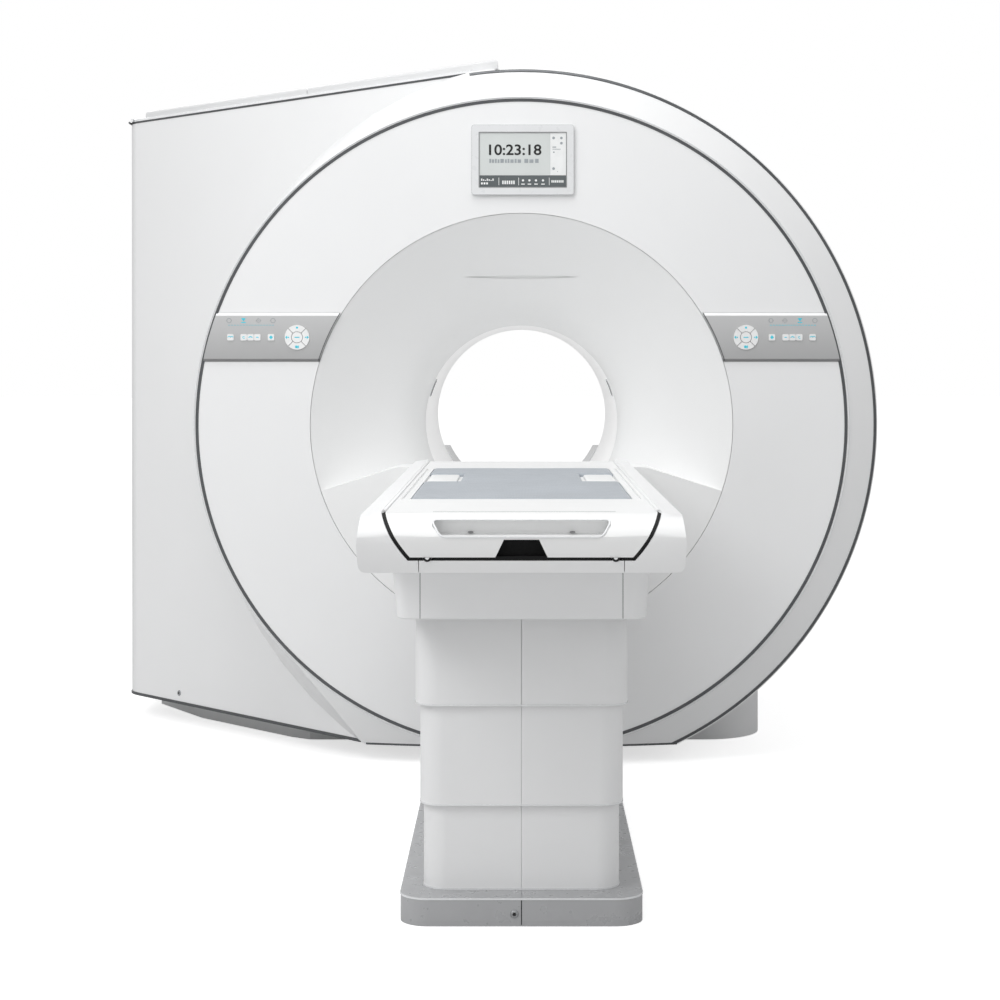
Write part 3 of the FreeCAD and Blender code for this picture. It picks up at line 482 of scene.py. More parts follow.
round_face("ring_trim", [(-0.006, 0.0005), (-0.005, 0.0022), (0.003, 0.0022), (0.004, 0.0005),
                         (0.003, -TRIM_ROOT), (-0.005, -TRIM_ROOT)],
           RING_R, trim_dark, "face_white")
round_face("ring_bead", [(0.0065, 0.0004), (0.0075, 0.002), (0.0095, 0.002), (0.0105, 0.0003),
                         (0.0085, -TRIM_ROOT)], COLLAR_R, trim_light, "cover_white")

collar_slope = (RIM_Y - FACE_Y) / (RIM_R - COLLAR_R)


def on_bevel(radius, proud):
    """Radius and Y of a point on the collar's bevel, lifted square to it."""
    tilt = math.atan(collar_slope)
    return (radius + proud * math.sin(tilt),
            FACE_Y + (radius - COLLAR_R) * collar_slope - proud * math.cos(tilt))


r_in, r_in_top, r_out_top, r_out = RIM_TRIM_R
foot, shoulder = RIM_TRIM_PROUD
rim_section = [on_bevel(r_in, -TRIM_ROOT), on_bevel(r_in, foot), on_bevel(r_in_top, shoulder),
               on_bevel(r_out_top, shoulder), on_bevel(r_out, foot), on_bevel(r_out, -TRIM_ROOT)]
top_turn = math.degrees(math.atan2(FLANK_TOP_Z - BORE_Z, FLANK_TOP_X))
arc_strip("rim_trim", rim_section, -flat_turn(1.118), top_turn, RIM_STEPS, trim_dark)


def flank_front_x(z):
    return FLANK_TOP_X + (z - FLANK_TOP_Z) * FLANK_LEAN


def flank_y(x, z):
    return RIM_Y + (flank_front_x(z) - x) * FLANK_FALL


def roof_z(x):
    return FLANK_TOP_Z + (x - FLANK_TOP_X) * ROOF_SLOPE


def underside_z(x):
    return FLANK_FOOT_Z + (x - FLANK_FOOT_X) * UNDERSIDE_SLOPE


flank_out = Vector((-FLANK_FALL, -1.0, FLANK_FALL * FLANK_LEAN)).normalized()


def edge_path(z_of, front):
    """Points and outward normals along the flank, round the rear corner and along the left side,
    at a height that follows z_of."""
    left_x = CORNER_X + (CORNER_Z - z_of(CORNER_X)) * SIDE_LEAN
    run = Vector((1.0, -FLANK_FALL, 0.0)).normalized()
    side = Vector((0.0, 1.0, 0.0))
    half = math.acos(max(-1.0, min(1.0, run.dot(side)))) / 2
    z = z_of(left_x)
    corner = Vector((left_x, flank_y(left_x, z), z))
    reach = CORNER_R / math.tan(half)
    centre = corner + (run + side).normalized() * (CORNER_R / math.sin(half))
    path = []
    near = corner + run * reach
    for i in range(13):
        x = front + (near.x - front) * i / 12
        z = z_of(x)
        path.append((Vector((x, flank_y(x, z), z)), flank_out))
    first = (near - centre).normalized()
    last = Vector((-1.0, 0.0, 0.0))
    for i in range(1, 9):
        out = first.slerp(last, i / 8)
        path.append((centre + out * CORNER_R, out))
    path.append((Vector((left_x, SIDE_END_Y, z)), last))
    return path


def edge_strip(name, path, low, high, proud, material):
    """A strip along a path: low and high are heights over its points, proud stands out."""
    root, chamfer, shoulder = 0.002, 0.0012, 0.6 * proud
    profile = [(low, -root), (low, shoulder), (low + chamfer, proud), (high - chamfer, proud),
               (high, shoulder), (high, -root)]
    rings = []
    for point, out in path:
        up = Vector((0, 0, 1))
        up = (up - out * up.dot(out)).normalized()
        rings.append([point + up * rise + out * reach for rise, reach in profile])
    return skin(name, rings, material, *ON_COVER)


roof_path = edge_path(roof_z, FLANK_TOP_X)
lip_path = [(point - out * 0.012, out) for point, out in roof_path]
foot_path = edge_path(underside_z, FLANK_FOOT_X)
edge_strip("roof_trim", roof_path, -0.0085, -0.0015, 0.0022, trim_dark)
edge_strip("roof_lip", lip_path, -0.001, 0.0095, 0.006, trim_light)
edge_strip("underside_trim", foot_path, 0.0, 0.010, 0.0025, trim_dark)

SILL_HALF = 0.492
SILL_STEPS = 40
sill = []
for i in range(SILL_STEPS + 1):
    x = -SILL_HALF + 2 * SILL_HALF * i / SILL_STEPS
    radius = math.hypot(x, BORE_Z - FLAT_Z)
    y = FACE_Y + max(radius - COLLAR_R, 0.0) * collar_slope
    sill.append([Vector((x, y + 0.004, FLAT_Z - 0.0015)), Vector((x, y - 0.002, FLAT_Z - 0.0015)),
                 Vector((x, y - 0.0022, FLAT_Z + 0.0068)), Vector((x, y + 0.004, FLAT_Z + 0.008))])
skin("sill_trim", sill, trim_dark, *ON_COVER)


# ---- screws ----
SCREW_R = 0.0095
SCREW_HEIGHT = 0.003
SCREW_SIDES = 24
# (share of the radius, share of the height, whether it is a hexagon), from the root inwards
SCREW_HEAD = ((1.0, -1 / 6, False), (1.0, 0.45, False), (0.9, 0.85, False), (0.7, 1.0, False),
              (0.46, 1.0, True), (0.44, 0.25, True))
SCREW_SOCKET = ((0.45, 0.35, True), (0.45, 0.75, True))
FLANK_SCREW_X, FLANK_SCREW_Z = -1.190, 0.112
PLINTH_SCREW_X, PLINTH_SCREW_Z = -0.016, 0.028
PLINTH_REAR_SCREW_X = 0.15
REAR_SCREWS = [(-1.40, 2.05), (-1.34, 0.16), (-0.75, 2.08), (0.62, 1.86), (0.95, 1.30),
               (0.95, 0.80), (0.62, 0.26), (-0.62, 0.16)]


def screw(name, at, out, slot):
    """A low domed screw head with a hexagon recess, standing on a surface of the gantry."""
    out = out.normalized()
    across = Vector((0, 0, 1)).cross(out).normalized()
    rise = out.cross(across)

    def turned(share, level, hexed):
        points = []
        for i in range(SCREW_SIDES):
            turn = math.tau * i / SCREW_SIDES
            reach = SCREW_R * share
            if hexed:
                reach *= math.cos(math.pi / 6) / math.cos((turn % (math.pi / 3)) - math.pi / 6)
            points.append(at + across * math.cos(turn) * reach + rise * math.sin(turn) * reach
                          + out * SCREW_HEIGHT * level)
        return points

    skin(name, [turned(*row) for row in SCREW_HEAD], screw_steel, "gantry", slot)
    skin(name + "_socket", [turned(*row) for row in SCREW_SOCKET], vent_black, "gantry", slot)


screw("flank_screw", Vector((FLANK_SCREW_X, flank_y(FLANK_SCREW_X, FLANK_SCREW_Z),
                             FLANK_SCREW_Z)), flank_out, "cover_white")
screw("plinth_screw", Vector((PLINTH_SCREW_X, PLINTH_FRONT_Y, PLINTH_SCREW_Z)), FRONT,
      "plinth_grey")
for side, sign in SIDES:
    screw("plinth_rear_screw_" + side,
          Vector((sign * PLINTH_REAR_SCREW_X, PLINTH_REAR_Y, PLINTH_SCREW_Z)), REAR,
          "plinth_grey")
for number, (x, z) in enumerate(REAR_SCREWS, 1):
    screw("rear_screw_%d" % number, Vector((x, GANTRY_HALF, z)), REAR, "cover_white")


# ---- control marks ----
MARK_SCALE = 1.15
PAD_MARK_SHIFT = 0.004       # from the middle of a pad key towards the pad's rim
ICON_Z = 1.3945
SCALE_Z = 1.3800
SCALE_DASHES = 16
BAND_END_R = (0.6668, 0.6672, 0.6698, 0.6702)
BAND_END_SPAN = 14.1         # degrees
BAND_ENDS = {"left": 180 - 31.6, "right": 17.5}


def front_of(node):
    """The middle of a node's front face."""
    low_corner, high_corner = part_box(node)
    middle = (low_corner + high_corner) / 2
    return Vector((middle.x, low_corner.y, middle.z))


def dash(width, height, cx=0.0, cy=0.0):
    return rounded(width, height, min(width, height) * 0.45, 2, cx, cy)


def arch(radius, width, start, end, cx=0.0, cy=0.0, steps=8):
    """A curved stroke from one angle to another, in degrees."""
    turns = [math.radians(start + (end - start) * i / steps) for i in range(steps + 1)]
    return [(cx + r * math.cos(t), cy + r * math.sin(t))
            for r, sweep in ((radius, turns), (radius - width, turns[::-1])) for t in sweep]


def circle_line(radius, width, steps=8):
    """Two half rings that meet."""
    return [arch(radius, width, start, start + 180, steps=steps) for start in (0, 180)]


def key_mark(node, shapes, shift=(0.0, 0.0)):
    """A cyan mark on a key, which rides on it."""
    at = front_of(node)
    bolder = [[(MARK_SCALE * u, MARK_SCALE * v) for u, v in shape] for shape in shapes]
    place = facing_front(at.y + SUNK, at.x + shift[0], at.z + shift[1])
    slabs("mark_" + node, bolder, place, MARK_THICK, ink_cyan, "button_" + node, "key_white")


def arrow(way):
    """An arrow along the band, with its tail."""
    head = [(way * 0.0062, 0.0), (way * 0.0006, 0.0048), (way * 0.0006, -0.0048)]
    return [head, dash(0.0048, 0.0030, -way * 0.0026, 0.0)]


KEY_MARKS = {
    5: [arch(0.0052, 0.002, 20, 160, cx, -0.0018) for cx in (-0.0030, 0.0036)],
    4: [arch(0.0036, 0.0018, 40, 200, 0.0, -0.0008), dash(0.005, 0.0017, 0.0008, -0.0032)],
    3: [arch(0.0066, 0.0024, 25, 155, 0.0, -0.0036)],
    2: [dash(0.0072, 0.0024)],
    1: [[(0.0, 0.0058), (-0.0052, 0.0), (0.0, -0.0058), (0.0052, 0.0)]],
}
PAD_MARKS = {
    "centre": [dash(0.014, 0.0026)],
    "up": [disc(0.0030, 14)],
    "down": [disc(0.0030, 12, -0.0022, 0.0012), disc(0.0024, 12, 0.0030, 0.0016),
             dash(0.0105, 0.0024, 0.0002, -0.0022)],
}
for side, sign in SIDES:
    for number, shapes in KEY_MARKS.items():
        key_mark("key_%s_%d" % (side, number), shapes)
    for where, shapes, shift in (("centre", PAD_MARKS["centre"], (0, 0)),
                                 ("up", PAD_MARKS["up"], (0, PAD_MARK_SHIFT)),
                                 ("down", PAD_MARKS["down"], (0, -PAD_MARK_SHIFT)),
                                 ("outer", arrow(sign), (sign * PAD_MARK_SHIFT, 0)),
                                 ("inner", arrow(-sign), (-sign * PAD_MARK_SHIFT, 0))):
        key_mark("pad_%s_%s" % (side, where), shapes, shift)

band_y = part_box("panel_left")[0].y
circle_icon = circle_line(0.0080, 0.0018)
lit_icon = [[(-0.0075, 0.0075), (0.0, -0.0025), (0.0075, 0.0075)],
            dash(0.015, 0.0030, 0.0, -0.006)]
hexagon_icon = circle_line(0.0078, 0.0018, steps=3)
diamond_icon = circle_line(0.0082, 0.0018, steps=2) + [dash(0.0040, 0.0018)]
ink_blue = paint("ink_blue", (0.18, 0.50, 0.58), 0.45)
for side, places, icons, scale_ink in (
        ("left", (-0.918, -0.8727, -0.8256, -0.780),
         (circle_icon, lit_icon, diamond_icon, circle_icon), ink_blue),
        ("right", (0.783, 0.827, 0.874, 0.921),
         (hexagon_icon, diamond_icon, lit_icon, circle_icon), ink_cyan)):
    for number, (x, shapes) in enumerate(zip(places, icons), 1):
        slabs("icon_%s_%d" % (side, number), shapes, facing_front(band_y + SUNK, x, ICON_Z),
              MARK_THICK, ink_cyan if shapes is lit_icon else ink_grey, *ON_BAND)
    run = places[-1] - places[0]
    dots = [dash(0.0065, 0.0020, places[0] + run * i / (SCALE_DASHES - 1), 0.0)
            for i in range(SCALE_DASHES)]
    slabs("scale_line_" + side, dots, facing_front(band_y + SUNK, z=SCALE_Z), MARK_THICK,
          scale_ink, *ON_BAND)

for side, start in BAND_ENDS.items():
    levels = (band_y + 0.0006, band_y - 0.0006, band_y - 0.0006, band_y + 0.0006)
    arc_strip("band_end_" + side, list(zip(BAND_END_R, levels)), start, start + BAND_END_SPAN,
              12, trim_dark, "panel_grey")


# ---- display ----
def frame_line(name, low, high, grow, radius, y, thick):
    """A thin dark line round the box from low to high, grown by a little, facing the front."""
    width, height = high.x - low.x + grow, high.z - low.z + grow
    x, z = (low.x + high.x) / 2, (low.z + high.z) / 2
    rings = []
    for (u, v), (a, b) in zip(rounded(width, height, radius, 6),
                              rounded(width - 2 * thick, height - 2 * thick,
                                      max(radius - thick, 0.0004), 6)):
        rings.append([Vector((x + u, y + 0.0006, z + v)), Vector((x + u, y - 0.0006, z + v)),
                      Vector((x + a, y - 0.0006, z + b)), Vector((x + a, y + 0.0006, z + b))])
    skin(name, rings, seam_grey, "gantry", "bezel_grey", loop=True)


frame_low, frame_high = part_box("display_frame")
glass_low, glass_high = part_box("display_screen")
frame_line("display_edge", frame_low, frame_high, 0.0016, 0.0088, frame_low.y + 0.0022, 0.0026)
frame_line("display_rebate", glass_low, glass_high, 0.0030, 0.0020, frame_low.y, 0.0024)

screen_y = glass_low.y
PIXEL = (screen_y - EYE_Y) / PHOTO_FOCAL     # metres on the screen per pixel of the photograph

# Pixels of the photograph: columns run right, rows run down
FIELD_COLUMNS = (479.6, 550.0)
SIDE_COLUMNS = (550.3, 566.0)
BAR_COLUMNS = (479.6, 566.0)
FIELD_ROWS = (133.0, 175.2)
BAR_ROWS = (175.4, 187.0)
CLOCK_COLUMNS = (489.0, 541.4)
CLOCK_ROWS = (144.4, 155.2)
DATE_ROWS = (158.9, 162.9)
DATE_RISE = 0.5                              # every second block starts this much lower
DATE_BLOCKS = [(489.3, 491.2), (492, 494), (494.9, 496.7), (497.6, 499.4), (500.4, 503.8),
               (505, 506.8), (507.6, 509.4), (510.4, 513.6), (514.6, 516.6), (517.6, 521),
               (524.4, 528.2), (529.4, 533.4), (535, 538.6)]
SIDE_DOTS = [(0.0044, 14, 553.6, 138.0), (0.0042, 14, 561.4, 138.0), (0.0042, 14, 561.4, 143.2),
             (0.0044, 14, 553.6, 168.6), (0.0013, 10, 557.6, 171.6)]   # radius, sides, place
SIDE_BLOCKS = [((552.4, 556.2), (146.6, 147.6)), ((553.0, 554.6), (151.6, 152.8)),
               ((552.4, 560.6), (148.9, 149.5))]
# (first column, pitch, width, count), rows, and a step between the tops of neighbours
WORDS = [((481.0, 1.9, 1.3, 7), (178.6, 180.8), 0.7), ((481.0, 2.6, 1.8, 3), (182.4, 184.4), 0),
         ((502.2, 2.2, 1.5, 6), (180.6, 184.2), 0), ((551.4, 1.8, 1.3, 7), (180.2, 182.6), 0)]
BUTTON_COLUMNS = (523.0, 529.4, 536.0, 543.0)
BUTTON_ROW = 180.4
BUTTON_R = 0.0036
LABEL_HALF = 1.8
LABEL_ROWS = (183.6, 184.6)
DIVIDER_COLUMNS = (498.6, 518.4, 549.0)
DIVIDER_WIDTH = 0.5
DIVIDER_ROWS = (177.6, 185.2)


def screen_x(column):
    return (column - PHOTO_X) * PIXEL


def screen_z(row):
    return EYE_Z - (row - PHOTO_Y) * PIXEL


def block(columns, rows):
    """A rectangle on the screen between two columns and two rows of the photograph."""
    (left, right), (top, bottom) = map(screen_x, columns), map(screen_z, rows)
    return rounded(right - left, top - bottom, 0.0004, 2, (left + right) / 2, (top + bottom) / 2)


def word(letters, rows, rise):
    """Small blocks in a row, in place of letters."""
    first, pitch, width, count = letters
    return [block((first + pitch * i, first + pitch * i + width), (rows[0] + rise * (i % 3),
                                                                   rows[1]))
            for i in range(count)]


def on_screen(name, shapes, material, proud=-SUNK, thick=MARK_THICK):
    slabs(name, shapes, facing_front(screen_y - proud), thick, material, "gantry",
          "screen")


def over_screen(name, shapes, material):
    on_screen(name, shapes, material, proud=0.0003, thick=0.0003)


on_screen("screen_field", [block(FIELD_COLUMNS, FIELD_ROWS)], field_grey)
on_screen("screen_side", [block(SIDE_COLUMNS, FIELD_ROWS)], ink_white)
on_screen("screen_bar", [block(BAR_COLUMNS, BAR_ROWS)], bar_grey)
over_screen("screen_date", [block(columns, (DATE_ROWS[0] + DATE_RISE * (i % 2), DATE_ROWS[1]))
                            for i, columns in enumerate(DATE_BLOCKS)], ink_grey)
over_screen("screen_dots", [disc(radius, sides, screen_x(column), screen_z(row))
                            for radius, sides, column, row in SIDE_DOTS]
            + [block(*spot) for spot in SIDE_BLOCKS], ink_grey)
bar_marks = [shape for letters in WORDS for shape in word(*letters)]
bar_marks += [disc(BUTTON_R, 12, screen_x(x), screen_z(BUTTON_ROW)) for x in BUTTON_COLUMNS]
bar_marks += [block((x - LABEL_HALF, x + LABEL_HALF), LABEL_ROWS) for x in BUTTON_COLUMNS]
bar_marks += [block((x, x + DIVIDER_WIDTH), DIVIDER_ROWS) for x in DIVIDER_COLUMNS]
over_screen("screen_bar_marks", bar_marks, ink_white)


def clock_digits():
    """The time in plain digits, as a mesh fitted to its place on the screen."""
    text = bpy.data.curves.new("clock_text", "FONT")
    text.body = "10:23:18"
    text.extrude = 0.01
    text.offset = 0.018
    holder = bpy.data.objects.new("clock_text", text)
    scene.collection.objects.link(holder)
    bpy.context.view_layer.update()
    mesh = bpy.data.meshes.new_from_object(holder)
    bpy.data.objects.remove(holder, do_unlink=True)
    xs = [v.co.x for v in mesh.vertices]
    ys = [v.co.y for v in mesh.vertices]
    (left, right), (top, bottom) = map(screen_x, CLOCK_COLUMNS), map(screen_z, CLOCK_ROWS)
    for vertex in mesh.vertices:
        u = (vertex.co.x - min(xs)) / (max(xs) - min(xs))
        v = (vertex.co.y - min(ys)) / (max(ys) - min(ys))
        out = 0.0006 if vertex.co.z > 0 else 0.0002
        vertex.co = (left + (right - left) * u, screen_y - out, bottom + (top - bottom) * v)
    mesh.materials.clear()
    mesh.materials.append(ink_black)
    piece = bpy.data.objects.new("screen_clock", mesh)
    scene.collection.objects.link(piece)
    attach(piece, "gantry")


clock_digits()


# ---- bore ----
WINDOW_FRONT, WINDOW_REAR = -0.498, -0.400
WINDOW_ROOT_R = 0.3158
WINDOW_START, WINDOW_SPAN = 15.0, 11.0       # degrees over the horizontal
WINDOW_TRIM = 160                            # degrees that a metre of inset takes off each end
WINDOW_STEPS = 8
for side, sign in SIDES:
    for name, radius, inset, material in (("window_frame", 0.3135, 0.0, trim_light),
                                          ("window_glass", 0.3125, 0.006, seam_grey)):
        front, rear, cut = WINDOW_FRONT + inset, WINDOW_REAR - inset, WINDOW_TRIM * inset
        rings = []
        for i in range(WINDOW_STEPS + 1):
            turn = math.radians(WINDOW_START + cut + (WINDOW_SPAN - 2 * cut) * i / WINDOW_STEPS)
            rings.append([Vector((sign * r * math.cos(turn), y, BORE_Z + r * math.sin(turn)))
                          for r, y in ((radius, front), (radius, rear), (WINDOW_ROOT_R, rear),
                                       (WINDOW_ROOT_R, front))])
        skin("%s_%s" % (name, side), rings, material, "gantry", "tube_white")


# ---- table ----
def circle_through(a, b, c):
    """Centre and radius of the circle through three points given as (y, z)."""
    d = 2 * (a[0] * (b[1] - c[1]) + b[0] * (c[1] - a[1]) + c[0] * (a[1] - b[1]))
    squares = [p[0] ** 2 + p[1] ** 2 for p in (a, b, c)]
    y = (squares[0] * (b[1] - c[1]) + squares[1] * (c[1] - a[1])
         + squares[2] * (a[1] - b[1])) / d
    z = (squares[0] * (c[0] - b[0]) + squares[1] * (a[0] - c[0])
         + squares[2] * (b[0] - a[0])) / d
    return (y, z), math.hypot(a[0] - y, a[1] - z)


CROWN_START, CROWN_MIDDLE = (-3.040, DECK_TOP_Z), (-3.1277, 0.9452)
BELLY_MIDDLE, BELLY_END = (-3.1568, 0.874), (-3.140, 0.836)
crown = circle_through(CROWN_START, CROWN_MIDDLE, NOSE)
belly = circle_through(NOSE, BELLY_MIDDLE, BELLY_END)


def nose_y(z):
    """Y of the table's front end at a height."""
    (y, centre_z), radius = crown if z > NOSE[1] else belly
    return y - math.sqrt(max(radius ** 2 - (z - centre_z) ** 2, 0.0))


GAP_SHADE_R = (CRADLE_R + 0.0007, TROUGH_R - 0.0006)
GAP_SHADE_BEHIND_NOSE = 0.0045
GAP_SHADE_DEPTH = 0.02
GAP_SHADE_START, GAP_SHADE_SPAN = 21.4, 20.0           # degrees under the horizontal
ARC_STEPS = 12
LIP_R = (0.3050, 0.3107)
LIP_TOP_Z = DECK_TOP_Z - 0.0004
LIP_TALL = 0.020
LIP_ENDS = (-3.034, -0.956)
RIB_X, RIB_Z, RIB_BACK_Y = 0.193, 0.8687, -3.1544
RIB_ENDS = (("rib_seal_", 0.0088, -3.1556, shade_black), ("rib_core_", 0.0042, -3.1562, trim_light))
GAP_FLOOR_SHADE_X = [(-0.2285, -0.2040), (-0.1820, 0.1820), (0.2040, 0.2285)]
GAP_FLOOR_SHADE_Z = (0.8626, 0.8683)
GAP_FLOOR_SHADE_Y, GAP_FLOOR_SHADE_DEPTH = -3.131, 0.018


def gap_section(turn):
    """Section of the painted shade in the gap beside the cradle, at an angle below the horizontal.
    """
    ends = []
    for radius in GAP_SHADE_R:
        x, z = radius * math.cos(turn), BORE_Z - radius * math.sin(turn)
        front = nose_y(z) + GAP_SHADE_BEHIND_NOSE
        ends.append([(x, front, z), (x, front + GAP_SHADE_DEPTH, z)])
    (a, b), (c, d) = ends
    return [a, c, d, b]


# painted shade: near-black strips in the gap beside the cradle, and near-black rings round the rib
# ends
for side, sign in SIDES:
    turns = [math.radians(GAP_SHADE_START + GAP_SHADE_SPAN * i / ARC_STEPS) for i in range(ARC_STEPS + 1)]
    rings = [[Vector((sign * x, y, z)) for x, y, z in gap_section(turn)] for turn in turns]
    skin("gap_seal_" + side, rings, shade_black, *ON_TABLE)
    lip = [(r, LIP_TOP_Z - drop) for r, drop in ((LIP_R[0], 0.0), (LIP_R[1], 0.0),
                                                 (LIP_R[1], LIP_TALL), (LIP_R[0], LIP_TALL))]
    rings = [[Vector((sign * math.sqrt(r ** 2 - (BORE_Z - z) ** 2), y, z)) for r, z in lip]
             for y in LIP_ENDS]
    skin("deck_lip_" + side, rings, looks["table_white"], *ON_TABLE, bevel=0.0006)
    for name, reach, front, material in RIB_ENDS:
        half_disc = [math.pi * (1 + i / ARC_STEPS) for i in range(ARC_STEPS + 1)]
        rings = [[Vector((sign * RIB_X + reach * math.cos(turn), y,
                          RIB_Z + reach * math.sin(turn))) for turn in half_disc]
                 for y in (front, RIB_BACK_Y)]
        skin(name + side, rings, material, *ON_CRADLE)


def upright(left, right, low, high):
    return [(left, low), (right, low), (right, high), (left, high)]


# painted shade: near-black blocks in the gap under the cradle
slabs("gap_seal_floor", [upright(*span, *GAP_FLOOR_SHADE_Z) for span in GAP_FLOOR_SHADE_X],
      facing_front(GAP_FLOOR_SHADE_Y), GAP_FLOOR_SHADE_DEPTH, shade_black, *ON_TABLE)

# ---- the cap's latch, handle and crease ----
LATCH = [(-0.0356, 0.9056), (-0.0536, 0.8692), (0.0536, 0.8692), (0.0356, 0.9056)]
LATCH_MIDDLE_Z = 0.89
LATCH_FRONT_Y, LATCH_TOP_Y, LATCH_BACK_Y = -3.1550, -3.1590, -3.1198
LATCH_SHADE_PLAY, LATCH_SHADE_THICK = 0.0002, 0.0014
HANDLE = [(-0.1855, 0.9445), (-0.1660, 0.9115), (0.1660, 0.9115), (0.1855, 0.9445)]
HANDLE_CORNER_R = 0.012
HANDLE_RIM = (0.0022, 0.0013)                # half its width, and how far it stands out
SLOPE_STEP = 0.002
TAB_X, TAB_Y, TAB_Z = 0.1055, -3.1042, 0.9165
TAB_HALF, TAB_TALL, TAB_DEPTH = 0.006, 0.0026, 0.006
CREASE_Y = -3.0760
CREASE = ((-0.184, 0.0004), (-0.17, 0.0012), (0.17, 0.0012), (0.196, 0.0004))   # x, half width


def inset(outline, by):
    middle = [sum(values) / len(outline) for values in zip(*outline)]
    return [[at + math.copysign(by, centre - at) for at, centre in zip(point, middle)]
            for point in outline]


def latch_ring(outline, top_y, foot_y):
    return [Vector((x, foot_y if z < LATCH_MIDDLE_Z else top_y, z)) for x, z in outline]


# painted shade: a near-black sheet lines the latch recess
outer, inner = inset(LATCH, LATCH_SHADE_PLAY), inset(LATCH, LATCH_SHADE_THICK)
latch_shade_back = LATCH_BACK_Y - LATCH_SHADE_THICK
skin("latch_lining", [latch_ring(outer, LATCH_BACK_Y, LATCH_BACK_Y),
                      latch_ring(outer, LATCH_TOP_Y, LATCH_FRONT_Y),
                      latch_ring(inner, LATCH_TOP_Y, LATCH_FRONT_Y),
                      latch_ring(inner, latch_shade_back, latch_shade_back)], shade_black, *ON_CRADLE)

handle = rounded_polygon(HANDLE, HANDLE_CORNER_R, 5)
rings = []
for i, (x, z) in enumerate(handle):
    (x0, z0), (x1, z1) = handle[i - 1], handle[(i + 1) % len(handle)]
    along = Vector((x1 - x0, nose_y(z1) - nose_y(z0), z1 - z0)).normalized()
    slope = (nose_y(z + SLOPE_STEP) - nose_y(z - SLOPE_STEP)) / (2 * SLOPE_STEP)
    out = Vector((0, -1, slope)).normalized()
    across = along.cross(out).normalized()
    rings.append([Vector((x, nose_y(z), z)) + across * u + out * v
                  for u, v in ((HANDLE_RIM[0] * math.cos(turn), HANDLE_RIM[1] * math.sin(turn))
                               for turn in (math.tau * k / 8 for k in range(8)))])
skin("handle_rim", rings, trim_light, *ON_CRADLE, loop=True)
for side, sign in SIDES:
    tab = [(u * TAB_HALF, max(v, -0.2) * TAB_TALL) for u, v in disc(1.0, 16)]
    slabs("handle_tab_" + side, [tab], facing_front(TAB_Y, sign * TAB_X, TAB_Z), TAB_DEPTH,
          seam_grey, *ON_CRADLE, bevel=0.001)

skin("cap_crease", [[Vector((x, CREASE_Y - tuck, 0.9568)), Vector((x, CREASE_Y, 0.9575)),
                     Vector((x, CREASE_Y + tuck, 0.9574)), Vector((x, CREASE_Y, 0.9560))]
                    for x, tuck in CREASE], seam_grey, *ON_CRADLE)

# ---- seams and beads under the table ----
APRON_SEAM_X, APRON_SEAM_HALF, APRON_SEAM_Z = 0.2247, 0.0009, (0.700, 0.835)
apron_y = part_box("apron")[0].y
for side, sign in SIDES:
    slabs("apron_seam_" + side, [upright(-APRON_SEAM_HALF, APRON_SEAM_HALF, *APRON_SEAM_Z)],
          facing_front(apron_y + 0.0002, sign * APRON_SEAM_X), 0.0005, seam_grey, *ON_TABLE)

BEAD_PROUD, BEAD_ROOT, BEAD_TALL = 0.0012, 0.001, 0.0035
TIER_FRONT_Y, TIER_REAR_Y, TIER_STEP, TIER_CORNER_R = -2.684, -1.700, 0.012, 0.055
# (half the width, height of the bead, body) of each tier, from the top. The lower bead stays
# under the middle tier with the table down.
TIERS = {"upper": (0.243, 0.487, "table_top"), "middle": (0.233, 0.258, "column_middle"),
         "lower": (0.225, 0.0642, "gantry")}
PLINTH_HALF, PLINTH_CORNER_R = 0.2755, 0.065
PLINTH_BEAD_Z, PLINTH_BEAD_TALL = 0.0595, 0.0042
PLINTH_SEAM_HALF, PLINTH_SEAM_Z = 0.0011, (0.004, 0.059)


def around(half, front, rear, radius, steps=6):
    """Points and outward normals round a rectangle with rounded corners, seen from above."""
    path = []
    for sx, sy, start in ((1, -1, 270), (1, 1, 0), (-1, 1, 90), (-1, -1, 180)):
        centre = Vector((sx * (half - radius), rear - radius if sy > 0 else front + radius, 0))
        for i in range(steps + 1):
            turn = math.radians(start + 90 * i / steps)
            out = Vector((math.cos(turn), math.sin(turn), 0))
            path.append((centre + out * radius, out))
    return path


def edge_bead(name, path, z, tall, body, slot):
    """A low bead round a form at a height."""
    profile = ((-BEAD_ROOT, z), (BEAD_PROUD, z), (BEAD_PROUD, z + tall), (-BEAD_ROOT, z + tall))
    rings = [[point + out * reach + Vector((0, 0, level)) for reach, level in profile]
             for point, out in path]
    skin(name, rings, trim_light, body, slot, loop=True)


for number, (name, (half, z, body)) in enumerate(TIERS.items()):
    path = around(half, TIER_FRONT_Y + TIER_STEP * number, TIER_REAR_Y - TIER_STEP * number,
                  TIER_CORNER_R)
    edge_bead("shroud_bead_" + name, path, z, BEAD_TALL, body, "shroud_white")
plinth_path = around(PLINTH_HALF, PLINTH_FRONT_Y, PLINTH_REAR_Y, PLINTH_CORNER_R, 10)
edge_bead("plinth_bead", plinth_path, PLINTH_BEAD_Z, PLINTH_BEAD_TALL, *ON_PLINTH)
slabs("plinth_seam", [upright(-PLINTH_SEAM_HALF, PLINTH_SEAM_HALF, *PLINTH_SEAM_Z)],
      facing_front(PLINTH_FRONT_Y + 0.0002), 0.0006, vent_black, *ON_PLINTH)


